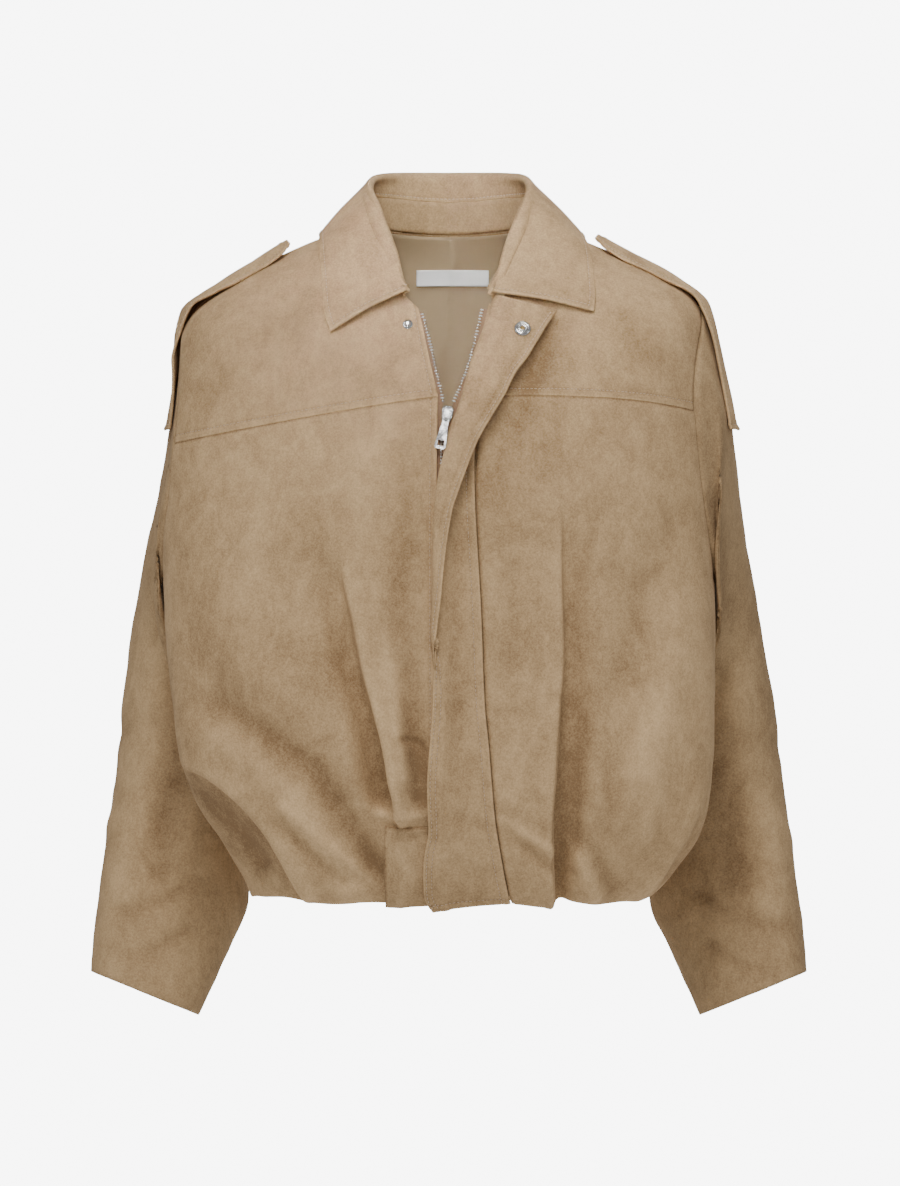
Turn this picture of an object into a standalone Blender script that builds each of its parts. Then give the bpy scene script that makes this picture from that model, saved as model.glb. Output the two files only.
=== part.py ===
"""Suede blouson, filled out as on a figure but hollow, with nobody in it.

Metres, +Z up.  The front faces -Y, and "left" and "right" are as seen from the front, so
right is +X.  The origin lies between the shoulders at the height of the neck seam at the
back, where the wearer's neck and shoulders hold the jacket up.

Every cloth piece is a wall.  Its outer face is a grid of points read from a smooth surface:
the body from rings, the sleeves from rings, the collar and the flap from cross sections.
The inner face lies one cloth thickness below it.  The tables are in millimetres.
"""
import math
from collections import namedtuple

import bpy
import numpy as np

for old in list(bpy.data.objects):
    bpy.data.objects.remove(old, do_unlink=True)

MM = 0.001

# a colour, a roughness and, for metal, a metallic value
SUEDE_LOOK = ((0.42, 0.31, 0.205), 0.9)
LINING_LOOK = ((0.50, 0.42, 0.31), 0.7)
TAPE_LOOK = ((0.30, 0.20, 0.12), 0.85)
METAL_LOOK = ((0.70, 0.70, 0.70), 0.25, 1.0)
LABEL_LOOK = ((0.80, 0.80, 0.79), 0.6)

# cloth and seams
SUEDE = 1.5             # single suede cloth
DOUBLED = 2.4           # collar, flap and straps: two cloths sewn and turned
LINING = 1.0
TAPE = 1.0              # woven zip tape
FACING = 1.2
SEAM = 0.2              # each piece stops this far short of its seam
CLEAR = 0.5             # between a piece and the one that it lies on

# the body, ring by ring, from the turned-in hem up to the neck seam.  Every ring has its
# heights and reaches at the centre front, the two sides and the centre back.  A dip is the
# power by which the height changes from the centre front to the side.
BodyRing = namedtuple("BodyRing", "name front_z left_z right_z back_z left_x right_x "
                                  "front_y side_y back_y left_dip right_dip")
BODY_RINGS = [
    BodyRing("hem lip", -540, -536, -538, -540, -151, 144, -101, -12, 88, 2.0, 2.0),
    BodyRing("hem", -548, -544, -546, -548, -161, 155, -111, -14, 96, 2.0, 2.0),
    BodyRing("hem swell", -531, -529, -532, -532, -168, 175, -123, -20, 106, 2.0, 2.0),
    BodyRing("balloon foot", -500, -498, -500, -502, -186, 202, -138, -34, 117, 2.0, 2.0),
    BodyRing("balloon", -465, -465, -468, -467, -208, 212, -149, -46, 124, 2.0, 2.0),
    BodyRing("waist", -425, -425, -425, -427, -221, 216, -153, -50, 128, 2.0, 2.0),
    BodyRing("low rib", -380, -380, -380, -382, -227, 217, -152, -44, 128, 2.0, 2.0),
    BodyRing("rib", -332, -332, -332, -332, -232, 218, -149, -29, 127, 2.0, 2.0),
    BodyRing("underarm", -284, -285, -285, -282, -234, 217, -144, -12, 126, 2.0, 2.0),
    BodyRing("chest", -214, -228, -220, -222, -235, 216, -136, -4, 126, 1.6, 2.6),
    BodyRing("yoke seam", -134, -174, -149, -160, -233, 213, -122, 0, 122, 1.0, 3.4),
    BodyRing("upper arm", -116, -118, -102, -105, -226, 210, -112, 1, 113, 1.4, 2.6),
    BodyRing("shoulder end", -101, -68, -57, -60, -212, 203, -104, 2, 102, 2.0, 2.2),
    BodyRing("shoulder", -87, -22, -22, -27, -146, 148, -97, 4, 91, 2.0, 2.0),
    BodyRing("neck seam", -74, 7, 7, 0, -74, 74, -90, 6, 78, 1.6, 1.6),
]
HEM, UNDERARM, YOKE, SHOULDER_END, NECK = 1, 8, 10, 12, 14
FRONT_SQUARE = 2.3      # 2 is an ellipse, more is squarer
BACK_SQUARE = 1.9

# how the columns of a front are shared out: up to its pleat, over the pleat's step, and on
# to the side
FrontPlan = namedtuple("FrontPlan", "side pleat near_steps far_steps pleat_share")
FRONT_PLANS = [
    FrontPlan("left", "knife pleat", 4, 11, 0.24),
    FrontPlan("right", "side pleat", 4, 10, 0.30),
]
STEP_SHARE = 0.02
BACK_COLUMNS = 22
PULL_NEAR_EDGE = 3.5    # the power by which the armhole moves a panel's columns aside
TURN_STEP, ROW_STEP = 0.4, 0.04     # the steps by which a normal is read

# the lining behind the neck opening
LINING_INSET = 6.0      # degrees short of the side seams
LINING_SLACK = 13.0     # how far inside the back it hangs below the shoulders
LINING_COLUMNS = 14

# the armhole, an oval hole in the body's sides, a little pointed at both ends.  Its spread is
# in degrees of turn.
ARM_MIDDLE = (UNDERARM + SHOULDER_END) / 2
ARM_HALF = (SHOULDER_END - UNDERARM) / 2
ARM_POINTED = 1.6
ARM_SPREAD = {
    ("left", "front"): 16,
    ("left", "back"): 26,
    ("right", "front"): 21,
    ("right", "back"): 24,
}
# the armhole's clock is 0 on the shoulder and 180 under the arm; body rows and sleeve columns
# meet at these places
HALF_CLOCKS = (0, 18, 34, 50, 64, 77, 90, 103, 116, 130, 146, 162, 180)

# the zip: where the two fronts end at the centre, by height
ZipEdge = namedtuple("ZipEdge", "z left_x right_x")
ZIP_EDGES = [
    ZipEdge(-560, -10.0, -3.5),
    ZipEdge(-170, -10.0, -3.0),
    ZipEdge(-150, -8.5, 2.0),
    ZipEdge(-138, -8.5, 8.0),
    ZipEdge(-122, -12.0, 14.5),
    ZipEdge(-98, -17.5, 22.5),
    ZipEdge(-66, -24.0, 29.5),
    ZipEdge(-50, -30.0, 35.0),
]
TEETH_IN = 3.4          # from a front's edge to the line of the teeth
ZIP_LINE = -6.5         # the closed zip's own line
ZIP_CALM = 16.0         # how far from it the folds reach their full depth
TAB_CALM = 22.0         # the same for the middle of the waist's tab

# the fronts' and the back's folds, each along a route seen from the front or from behind.
# A ridge stands out and a furrow lies in, by the depths at the route's two ends, and spreads
# over its width.  A pleat is a step: it stands out on its high side, falls within its step and
# lies in on the other side.  High is +1 where the +X side stands out, -1 where the -X side
# does.
STEP = 4.0              # the two pleats that a front's own columns follow
SOFT_STEP = 34.0
Fold = namedtuple("Fold", "name face kind high step first last width route")
FOLDS = [
    Fold("knife pleat", "front", "pleat", 1, STEP, 3, 13, 26,
         ((-86, -285), (-73, -351), (-62, -388), (-54, -421), (-48, -458), (-43, -480))),
    Fold("swag edge", "front", "pleat", 1, SOFT_STEP, 3, 9, 40,
         ((-222, -437), (-198, -446), (-178, -461), (-160, -480), (-144, -501), (-123, -536))),
    Fold("swag valley", "front", "furrow", 0, 0, -4, -8, 24,
         ((-196, -378), (-136, -418), (-102, -458), (-82, -484), (-70, -520))),
    Fold("valley by the flap", "front", "furrow", 0, 0, -2, -5, 13,
         ((-18, -330), (-21, -400), (-25, -450))),
    Fold("left chest drag", "front", "furrow", 0, 0, -1, -4, 22,
         ((-150, -215), (-112, -290), (-92, -360))),
    Fold("left rib roll", "front", "ridge", 0, 0, 4, 5, 26,
         ((-205, -250), (-175, -330), (-150, -390))),
    Fold("side pleat", "front", "pleat", -1, STEP, 1, 9, 26,
         ((92, -225), (93, -300), (94, -350), (92, -384), (88.5, -438), (85.6, -472), (86, -548))),
    Fold("right side edge", "front", "pleat", -1, SOFT_STEP, 3, 8, 24,
         ((214, -470), (203, -494), (190, -515), (176, -538))),
    Fold("right hem crease", "front", "ridge", 0, 0, 2, 4, 16,
         ((96, -498), (108, -517), (119, -545))),
    Fold("right chest drag", "front", "furrow", 0, 0, -2, -4, 20,
         ((185, -235), (158, -300), (140, -380))),
    Fold("right rib roll", "front", "ridge", 0, 0, 3, 4, 26,
         ((190, -320), (176, -400), (150, -470))),
    Fold("back left pleat", "back", "pleat", 1, SOFT_STEP, 3, 9, 26,
         ((-88, -280), (-86, -360), (-80, -450), (-72, -548))),
    Fold("back right pleat", "back", "pleat", -1, SOFT_STEP, 3, 9, 26,
         ((90, -270), (88, -350), (80, -450), (74, -548))),
    Fold("back middle roll", "back", "ridge", 0, 0, 3, 6, 30,
         ((-6, -240), (4, -340), (-4, -470))),
    Fold("back left swag", "back", "furrow", 0, 0, -3, -7, 26,
         ((-178, -330), (-140, -410), (-100, -480), (-86, -530))),
    Fold("back right swag", "back", "furrow", 0, 0, -3, -7, 26,
         ((172, -350), (140, -420), (104, -480), (88, -530))),
]

# a sleeve, ring by ring from the cap to the hem; x is its distance from the jacket's middle.
# wide runs from the outer to the inner edge and deep from front to back, both halves.
SleeveRing = namedtuple("SleeveRing", "name x y z wide deep tilt yaw")
SLEEVE_LEFT = [
    SleeveRing("cap", 229, 5, -190, 107, 34, 97, 0),
    SleeveRing("head", 231, 20, -240, 98, 47, 93, 0),
    SleeveRing("upper arm", 228, 52, -297, 84, 53, 82, 0),
    SleeveRing("above elbow", 224, 84, -360, 68, 50, 60, 8),
    SleeveRing("elbow", 222, 99, -420, 63, 48, 42, 18),
    SleeveRing("below elbow", 222, 103, -474, 63, 47, 30, 18),
    SleeveRing("forearm", 225, 95, -530, 64, 47, 21, 14),
    SleeveRing("wrist", 238.5, 80, -580, 55.5, 45, 18, 8),
    SleeveRing("sleeve hem", 251, 66, -624.5, 48, 43, 22, 5),
]
SLEEVE_RIGHT = [
    SleeveRing("cap", 218, 2, -186, 109, 40, 92, 0),
    SleeveRing("head", 222, 15, -240, 99, 52, 85, 0),
    SleeveRing("upper arm", 219, 42, -296, 84, 56, 76, 2),
    SleeveRing("above elbow", 220, 74, -360, 68, 50, 60, 10),
    SleeveRing("elbow", 221, 88, -420, 63, 48, 42, 18),
    SleeveRing("below elbow", 222, 94, -474, 63, 47, 30, 18),
    SleeveRing("forearm", 225, 88, -530, 64, 47, 21, 14),
    SleeveRing("wrist", 238.5, 74, -580, 55.5, 45, 18, 8),
    SleeveRing("sleeve hem", 251, 62, -624.5, 48, 43, 22, 5),
]
SLEEVE_GAP = 5.0        # between a sleeve and the body's side
FULL_GAP_AT = 0.6       # the station where the gap is full
SleeveFold = namedtuple("SleeveFold", "name depth station clock length breadth slant")
SLEEVE_FOLDS = [
    SleeveFold("under the cap", -5, 2.2, 60, 0.5, 60, 20),
    SleeveFold("elbow front", -6, 4.6, 110, 0.35, 70, 35),
    SleeveFold("elbow lower", 5, 5.4, 95, 0.35, 70, 35),
    SleeveFold("forearm", -4, 6.6, 60, 0.5, 50, 30),
    SleeveFold("elbow back", -6, 4.4, 250, 0.35, 70, -35),
    SleeveFold("back of the upper arm", 5, 3.0, 290, 0.6, 60, -25),
]

# the collar.  Round runs from 0 at the centre back to 1 at the front end.  The roll is the
# top of the collar, and the edge its outer, free one.
CollarRow = namedtuple("CollarRow", "round stand roll_x roll_y roll_z edge_x edge_y edge_z")
COLLAR_LEFT = [
    CollarRow(0.000, 25, 0, 80, 51.5, 0, 103, -18),
    CollarRow(0.120, 25, -24, 76, 51.5, -38, 98, -17),
    CollarRow(0.250, 25, -45, 61, 51.0, -72, 82, -12),
    CollarRow(0.420, 23, -61, 34, 48.5, -97, 51, -5),
    CollarRow(0.590, 20, -66, 0, 41.0, -106, 14, 0),
    CollarRow(0.670, 16, -64, -18, 33.0, -106.5, -10, -3.5),
    CollarRow(0.743, 11, -60, -32, 24.0, -105.5, -34, -13),
    CollarRow(0.822, 7, -54, -48, 8.0, -104, -50, -30),
    CollarRow(0.895, 4.5, -47, -63, -9.6, -102.5, -66, -49),
    CollarRow(0.954, 3.4, -39.5, -76, -30.0, -101, -80, -66),
    CollarRow(1.000, 2.8, -33, -88, -51.0, -96, -92, -82),
]
COLLAR_RIGHT = [
    CollarRow(0.000, 25, 0, 80, 51.5, 0, 103, -18),
    CollarRow(0.120, 25, 24, 76, 51.5, 40, 98, -17),
    CollarRow(0.250, 25, 46, 61, 51.0, 75, 82, -12),
    CollarRow(0.420, 23, 62, 34, 48.5, 101, 51, -5),
    CollarRow(0.590, 20, 67, 0, 41.0, 110, 14, -1),
    CollarRow(0.670, 16, 66, -18, 33.0, 112, -10, -5),
    CollarRow(0.743, 11, 62, -32, 24.0, 114, -34, -15),
    CollarRow(0.822, 7, 55, -48, 7.0, 116, -50, -28),
    CollarRow(0.895, 4.5, 47.5, -63, -12.0, 117.5, -66, -42),
    CollarRow(0.954, 3.4, 40, -76, -33.0, 118.5, -76, -54),
    CollarRow(1.000, 2.8, 34, -88, -53.0, 117, -80, -65),
]
COLLAR_STEPS = 18
STAND_LEAN = 3.5        # how far the stand leans in
STAND_FOOT = 1.0        # the stand's foot above the neck seam, and how much more in front
STAND_FOOT_MORE = 1.2
COLLAR_FRONT_TURN = 26  # degrees from the centre front to the collar's front ends
LEAF_LIFT = 4.0         # the leaf's edge over the yoke
LEAF_RISE = np.array([0.15, 0.15, 0.55])    # the leaf rises before it leans in
LEAF_LIES = 0.67        # the share of the collar past which its edge lies on the yoke
ROLL_HALF = 4.5         # half of the roll's thickness over the fold, and the least of it
ROLL_LEAST = 2.6

# the flap over the zip, section by section from the hem up.  The seam joins it to the right
# front.  The fold is where it turns back, and the free edge ends it.  dip, crest and tip
# are how far its face stands out between seam and fold, at the fold and at the free edge.
FlapRow = namedtuple("FlapRow", "seam_x seam_z fold_x fold_z free_x free_z dip crest tip")
FLAP_ROWS = [
    FlapRow(51.0, -548, 4, -549.5, -13.0, -552.0, 1.8, 5.0, 5.8),
    FlapRow(48.5, -539, -2, -539.0, -19.5, -540.0, 1.8, 5.0, 5.8),
    FlapRow(43.5, -512, -3, -512.0, -19.7, -512.0, 1.5, 5.0, 6.0),
    FlapRow(39.0, -485, -1, -485.0, -16.4, -485.0, 1.3, 5.0, 6.4),
    FlapRow(37.3, -470, -3, -470.0, -18.0, -470.0, 1.0, 5.0, 6.8),
    FlapRow(33.2, -418, -1, -418.0, -13.9, -418.0, 1.0, 5.8, 7.2),
    FlapRow(30.3, -391, 0, -391.0, -11.7, -391.0, 1.0, 6.8, 8.0),
    FlapRow(29.0, -366, -6, -366.0, -11.0, -366.0, 1.0, 8.0, 9.5),
    FlapRow(28.0, -334, -10.0, -334.0, -9.0, -334.0, 1.0, 10.5, 14.0),
    FlapRow(26.5, -296, -10.6, -296.0, -6.0, -296.0, 1.2, 10.0, 16.0),
    FlapRow(24.0, -257, -10.4, -257.0, -2.0, -257.0, 1.4, 9.0, 16.0),
    FlapRow(22.5, -229, -9.8, -229.0, 3.0, -228.0, 1.8, 8.5, 15.0),
    FlapRow(21.8, -203, -6.5, -200.0, 9.0, -210.0, 2.0, 8.0, 14.0),
    FlapRow(21.5, -178, 0.0, -178.0, 17.5, -186.0, 2.5, 7.5, 13.0),
    FlapRow(28.0, -153, 7.5, -151.0, 26.5, -166.0, 2.5, 7.5, 12.5),
    FlapRow(33.0, -134, 14.5, -130.0, 39.0, -145.0, 2.5, 7.5, 12.0),
    FlapRow(37.0, -115, 20.0, -110.0, 52.0, -124.0, 2.5, 7.5, 12.0),
    FlapRow(40.5, -95, 26.5, -91.0, 64.5, -105.0, 2.0, 7.0, 11.5),
    FlapRow(44.0, -77, 33.0, -72.0, 75.5, -86.0, 1.5, 5.5, 10.0),
    FlapRow(46.2, -62, 38.5, -57.0, 86.0, -69.5, 0.8, 3.8, 8.0),
]

FLAP_GAP = 1.4          # between the flap and the right front
FLAP_STEPS = 26

# the strap on a shoulder, from its neck end over the shoulder and down on the sleeve.  A
# row lies over the body's row or the sleeve's station named by ground and place, lift over
# it in the strap's middle and droop less at its two edges.
StrapRow = namedtuple("StrapRow", "ground place y half_width lift droop")
STRAP_LEFT = [
    StrapRow("body", 13.22, -6, 11, 7.0, 1.0),
    StrapRow("body", 13.10, -6, 17, 7.5, 3.5),
    StrapRow("body", 12.90, -6, 19, 8.0, 4.5),
    StrapRow("body", 12.62, -5, 19, 8.0, 4.5),
    StrapRow("body", 12.30, -3, 19, 8.0, 3.5),
    StrapRow("body", 12.06, -2, 19, 8.0, 2.0),
    StrapRow("sleeve", 0.60, 0, 19, 7.0, 0.5),
    StrapRow("sleeve", 1.20, 3, 19, 5.0, 0.5),
    StrapRow("sleeve", 1.60, 4, 19, 2.5, 0.5),
    StrapRow("sleeve", 1.95, 5, 19, 2.5, 0.5),
    StrapRow("sleeve", 2.28, 6, 19, 3.5, 1.0),
]
STRAP_RIGHT = [
    StrapRow("body", 13.37, -5, 11, 7.0, 1.0),
    StrapRow("body", 13.22, -5, 17, 7.0, 3.5),
    StrapRow("body", 12.98, -5, 19, 7.0, 4.5),
    StrapRow("body", 12.65, -4, 19, 7.0, 4.5),
    StrapRow("body", 12.30, -3, 19, 7.0, 3.0),
    StrapRow("body", 12.06, -2, 19, 6.5, 2.5),
    StrapRow("sleeve", 0.60, -1, 19, 5.0, 1.5),
    StrapRow("sleeve", 1.20, 0, 19, 2.2, 0.5),
    StrapRow("sleeve", 1.60, 1, 19, 1.2, 0.5),
    StrapRow("sleeve", 1.95, 2, 19, 2.2, 0.5),
    StrapRow("sleeve", 2.28, 3, 19, 4.0, 1.0),
]
STRAP_SHARES = (-1, -0.5, 0, 0.5, 1)

# the blank label on the lining, and the waist band's end at the hem
LABEL_WIDTH, LABEL_HEIGHT, LABEL_THICK = 61, 13, 0.8
LABEL_X, LABEL_TOP = 3, -26
LABEL_GAP = 1.6
TAB_LEFT_X, TAB_RIGHT_X = -51, -21.5
TAB_FOOT, TAB_TOP = -550, -485
TAB_LIFT = 4.2
TAB_STEPS = 5

# the cloth behind the zip, by its depth behind the body's face
ZIP_STEPS = 18
ZIP_TOP, ZIP_FOOT = -62.0, -538.0
FACING_DEPTH = 3.0
TAPE_DEPTH = 4.0

# the snap's two halves, turned from stops of radius and height
ROUND_STEPS = 20
SNAP_GAP = 0.3
STUD_X, STUD_Z = -33.6, -76.5
STUD_PROFILE = ((0, 3.0), (1.7, 2.9), (2.5, 2.2), (1.8, 1.2), (3.7, 0.9), (4.2, 0.4), (4.2, 0.0))
SOCKET_X, SOCKET_Z = 57.0, -78.5
SOCKET_PROFILE = ((0, 0.9), (2.6, 0.9), (2.9, 2.0), (4.4, 2.4), (6.2, 1.9), (7.0, 0.9), (7.0, 0.0))

# the slider: an outline of across and down, drawn in by each layer and set at its height
SLIDER_X, SLIDER_TOP, SLIDER_LENGTH, SLIDER_LEAN = -1.6, -142.5, 14.5, 10
SLIDER_OUTLINE = ((-3.0, 0), (-5.0, 2.2), (-4.7, 7.5), (-3.7, 12.5), (-2.4, 14.5),
                  (2.4, 14.5), (3.7, 12.5), (4.7, 7.5), (5.0, 2.2), (3.0, 0))
SliderLayer = namedtuple("SliderLayer", "name lift off wide start long")
SLIDER_LAYERS = [
    SliderLayer("back plate", -6.9, 0, 0.92, 0.5, 0.93),
    SliderLayer("back plate's top", -6.1, 0, 1.0, 0, 1.0),
    SliderLayer("neck's foot", -6.0, -0.9, 0.36, 0.9, 0.3),
    SliderLayer("neck's top", -3.5, -0.9, 0.36, 0.9, 0.3),
    SliderLayer("front plate", -3.4, 0, 1.0, 0, 1.0),
    SliderLayer("front plate's edge", -2.7, 0, 1.0, 0, 1.0),
    SliderLayer("front plate's top", -2.3, 0, 0.9, 0.6, 0.92),
]
# the bridge, a bow of down and lift: along its outer face and back along its inner one
BRIDGE_HALF = 1.0
BRIDGE_PROFILE = ((2.4, -2.6), (2.4, -0.7), (3.8, 0.7), (7.2, 1.2), (10.6, 0.7), (12.0, -0.7), (12.0, -2.6),
                  (10.8, -2.6), (10.8, -1.0), (9.8, -0.3), (7.2, 0.1), (4.6, -0.3), (3.6, -1.0), (3.6, -2.6))

# the pull tab: rows down from its hinge, each with its half width and its opening's half
# width; open says whether the opening goes on to the next row
PULL_THICK = 1.0
PULL_PIVOT_LIFT = -1.15
PULL_END_X, PULL_END_Z, PULL_END_LIFT = -7.8, -178.8, 2.2
PullRow = namedtuple("PullRow", "down half hole open")
PULL_ROWS = [
    PullRow(-0.5, 2.5, 1.4, False),
    PullRow(0.5, 2.5, 1.4, True),
    PullRow(6.2, 2.6, 1.4, False),
    PullRow(9.0, 2.7, 1.6, False),
    PullRow(20.0, 3.9, 2.4, False),
    PullRow(22.6, 4.3, 2.6, True),
    PullRow(27.2, 4.7, 2.8, False),
    PullRow(29.0, 4.4, 2.6, False),
    PullRow(29.9, 3.2, 2.0, False),
]

SIDES = {"left": -1, "right": 1}


# ---------------------------------------------------------------- reading the tables

def smooth_read(table, place):
    """The table's columns at a fractional row number, on a Catmull-Rom curve."""
    last = len(table) - 1
    place = min(max(place, 0.0), last)
    k = min(int(place), last - 1)
    f = place - k
    before, here, there, after = (table[min(max(k + step, 0), last)] for step in (-1, 0, 1, 2))
    return 0.5 * (2 * here + (there - before) * f
                  + (2 * before - 5 * here + 4 * there - after) * f ** 2
                  + (3 * here - before - 3 * there + after) * f ** 3)


def numbers(table, first=0):
    """A table's rows as an array, without its first columns."""
    return np.array([row[first:] for row in table], dtype=float)


def unit(vector):
    return vector / np.linalg.norm(vector)


RING_NUMBERS = numbers(BODY_RINGS, 1)
ZIP_NUMBERS = numbers(ZIP_EDGES)


def zip_edge(z, side):
    """Where the front on this side ends at the centre, at one height."""
    return float(np.interp(z, ZIP_NUMBERS[:, 0], ZIP_NUMBERS[:, 1 if side == "left" else 2]))


def flap_seam(z):
    """The seam of the flap, which is the right front's own edge."""
    return float(np.interp(z, [row.seam_z for row in FLAP_ROWS], [row.seam_x for row in FLAP_ROWS]))


# ---------------------------------------------------------------- the body's surface

def ring_point(turn, row):
    """The body without its folds.  Turn is 0 at the centre front and 90 at the right side."""
    (front_z, left_z, right_z, back_z, left_x, right_x,
     front_y, side_y, back_y, left_dip, right_dip) = smooth_read(RING_NUMBERS, row)
    across = math.sin(math.radians(turn))
    ahead = math.cos(math.radians(turn))
    side_x, side_z, dip = (right_x, right_z, right_dip) if across >= 0 else (left_x, left_z, left_dip)
    if ahead >= 0:
        square, end_y, end_z = FRONT_SQUARE, front_y, front_z
    else:
        square, end_y, end_z, dip = BACK_SQUARE, back_y, back_z, 2.0
    x = side_x * abs(across) ** (2 / square)
    y = side_y + (end_y - side_y) * abs(ahead) ** (2 / square)
    z = end_z + (side_z - end_z) * abs(across) ** dip
    return np.array([x, y, z])


def ring_at(turn, row):
    """The body without its folds, held at its first and last ring."""
    return ring_point(turn, min(max(row, 0.0), NECK))


def surface_normal(point_at, first, second, first_step=TURN_STEP, second_step=ROW_STEP):
    """The outward normal of a surface whose second place runs up where its first runs round."""
    around = point_at(first + first_step, second) - point_at(first - first_step, second)
    along = point_at(first, second + second_step) - point_at(first, second - second_step)
    return unit(np.cross(around, along))


def route_place(route, x, z):
    """Signed distance from a route, share of the way along it, and how far past its ends."""
    best = None
    lengths = [math.dist(a, b) for a, b in zip(route, route[1:])]
    done = 0.0
    for (ax, az), (bx, bz), length in zip(route, route[1:], lengths):
        dx, dz = (bx - ax) / length, (bz - az) / length
        along = (x - ax) * dx + (z - az) * dz
        held = min(max(along, 0.0), length)
        gap = math.hypot(x - ax - held * dx, z - az - held * dz)
        if best is None or gap < best[0]:
            aside = dx * (z - az) - dz * (x - ax)
            best = (gap, aside, (done + held) / sum(lengths), abs(along - held))
        done += length
    return best[1:]


def fold_push(x, z, face):
    """How far the folds push the cloth out at a place seen from the front or the back."""
    push = 0.0
    for fold in FOLDS:
        if fold.face != face:
            continue
        aside, share, beyond = route_place(fold.route, x, z)
        depth = fold.first + (fold.last - fold.first) * share
        depth *= math.exp(-(beyond / fold.width) ** 2)
        spread = math.exp(-(aside / fold.width) ** 2)
        if fold.kind != "pleat":
            push += depth * spread
            continue
        # routes run downwards, so the +X side of a route is where aside is positive
        height = min(max(0.5 + fold.high * aside / fold.step, 0.0), 1.0)
        low_spread = math.exp(-(1.6 * aside / fold.width) ** 2)
        push += depth * (height * spread - 0.7 * (1 - height) * low_spread)
    return push


def body_point(turn, row):
    """The body's outer face, with its folds."""
    row = min(max(row, 0.0), NECK)
    plain = ring_point(turn, row)
    face = "front" if abs(turn) < 90 else "back"
    push = fold_push(plain[0], plain[2], face)
    # the folds die away at the side seams, along the zip and at the turned-in hem
    push *= min(1.0, abs(abs(turn) - 90) / 12) * min(1.0, row / (2 * HEM))
    if face == "front":
        push *= min(1.0, abs(plain[0] - ZIP_LINE) / ZIP_CALM)
        beside = (plain[0] - (TAB_LEFT_X + TAB_RIGHT_X) / 2) / TAB_CALM
        push *= 1 - math.exp(-beside ** 4) / (1 + math.exp((plain[2] - TAB_TOP) / 5 - 2))
    return plain + push * surface_normal(ring_point, turn, row)


def turn_at(x, row):
    """The turn at which the front of a ring passes x."""
    reach = smooth_read(RING_NUMBERS, row)[5 if x >= 0 else 4]
    across = min(abs(x / reach), 1.0) ** (FRONT_SQUARE / 2)
    return math.copysign(math.degrees(math.asin(across)), x)


def turn_on_line(line, row):
    """The turn at which the front of a ring crosses a line given as x by height."""
    turn = turn_at(line(-100.0), row)
    for _ in range(4):
        turn = turn_at(line(ring_point(turn, row)[2]), row)
    return turn


def front_place(x, z):
    """Turn and row of the body's front at x and z, no lower than the hem."""
    low, high = float(HEM), float(NECK)
    for _ in range(30):
        row = (low + high) / 2
        if ring_point(turn_at(x, row), row)[2] < z:
            low = row
        else:
            high = row
    return turn_at(x, row), row


def over_front(x, z, lift):
    """A point that stands out from the body's front by lift, or hangs below its hem."""
    turn, row = front_place(x, z)
    point = body_point(turn, row)
    point[2] = min(point[2], z)
    forward = surface_normal(body_point, turn, max(row, HEM + 0.5))
    return point + lift * forward


def armhole_aside(side, face, row):
    """How many degrees the armhole's edge lies from the body's side, at a row."""
    high = (row - ARM_MIDDLE) / ARM_HALF
    inside = math.sqrt(max(0.0, 1 - high * high))
    return ARM_SPREAD[side, face] * inside ** ARM_POINTED


def armhole_turn(side, face, row):
    """The turn of the armhole's edge on the front or back at a row, 90 outside the armhole."""
    aside = armhole_aside(side, face, row)
    return SIDES[side] * (90 - aside if face == "front" else 90 + aside)


def clear_of_body(side, point, gap):
    """A sleeve's point, moved out where it would come nearer to the body's side than gap."""
    rows = np.arange(HEM, NECK + 1)
    row = float(np.interp(point[2], RING_NUMBERS[HEM:, 1 if side == "left" else 2], rows))
    reads = smooth_read(RING_NUMBERS, row)
    side_x, side_y = abs(reads[4 if side == "left" else 5]), reads[7]
    face = "front" if point[1] < side_y else "back"
    end_y, square = (reads[6], FRONT_SQUARE) if face == "front" else (reads[8], BACK_SQUARE)
    depth = (point[1] - side_y) / (end_y - side_y)
    if depth >= 1:
        return point
    reach = side_x * (1 - depth ** square) ** (1 / square)
    aside = math.degrees(math.asin(depth ** (square / 2)))
    # in the armhole's upper part there is no cloth to keep clear of
    beyond = max((aside - armhole_aside(side, face, row)) / 3, UNDERARM + 1.5 - row)
    short = max(reach + gap - abs(point[0]), 0.0)
    moved = point.copy()
    moved[0] += SIDES[side] * short * min(max(beyond, 0.0), 1.0)
    return moved


# ---------------------------------------------------------------- the sleeves' surface

SLEEVE_NUMBERS = {"left": numbers(SLEEVE_LEFT, 1), "right": numbers(SLEEVE_RIGHT, 1)}


def armhole_place(side, clock):
    """Turn and row of the armhole's seam; clock is 0 on the shoulder, 90 in front, 180 below."""
    row = ARM_MIDDLE + ARM_HALF * math.cos(math.radians(clock))
    face = "front" if clock % 360 < 180 else "back"
    return armhole_turn(side, face, row), row


def armhole_point(side, clock):
    return body_point(*armhole_place(side, clock))


def sleeve_ring_point(side, clock, row):
    """A point of the sleeve's own rings, before the armhole is taken into account."""
    x, y, z, wide, deep, tilt, yaw = row
    tilt, yaw, clock = math.radians(tilt), math.radians(yaw), math.radians(clock)
    outward = np.array([math.cos(tilt) * math.cos(yaw), -math.cos(tilt) * math.sin(yaw), math.sin(tilt)])
    frontward = np.array([-math.sin(yaw), -math.cos(yaw), 0.0])
    point = np.array([x, y, z]) + wide * math.cos(clock) * outward + deep * math.sin(clock) * frontward
    return point * np.array([SIDES[side], 1, 1])


def sleeve_plain(side, clock, station):
    """The sleeve without folds, from station 0 at the armhole to the last ring at the hem."""
    rings = [armhole_point(side, clock)]
    rings += [sleeve_ring_point(side, clock, row) for row in SLEEVE_NUMBERS[side]]
    return smooth_read(np.array(rings), station)


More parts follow.
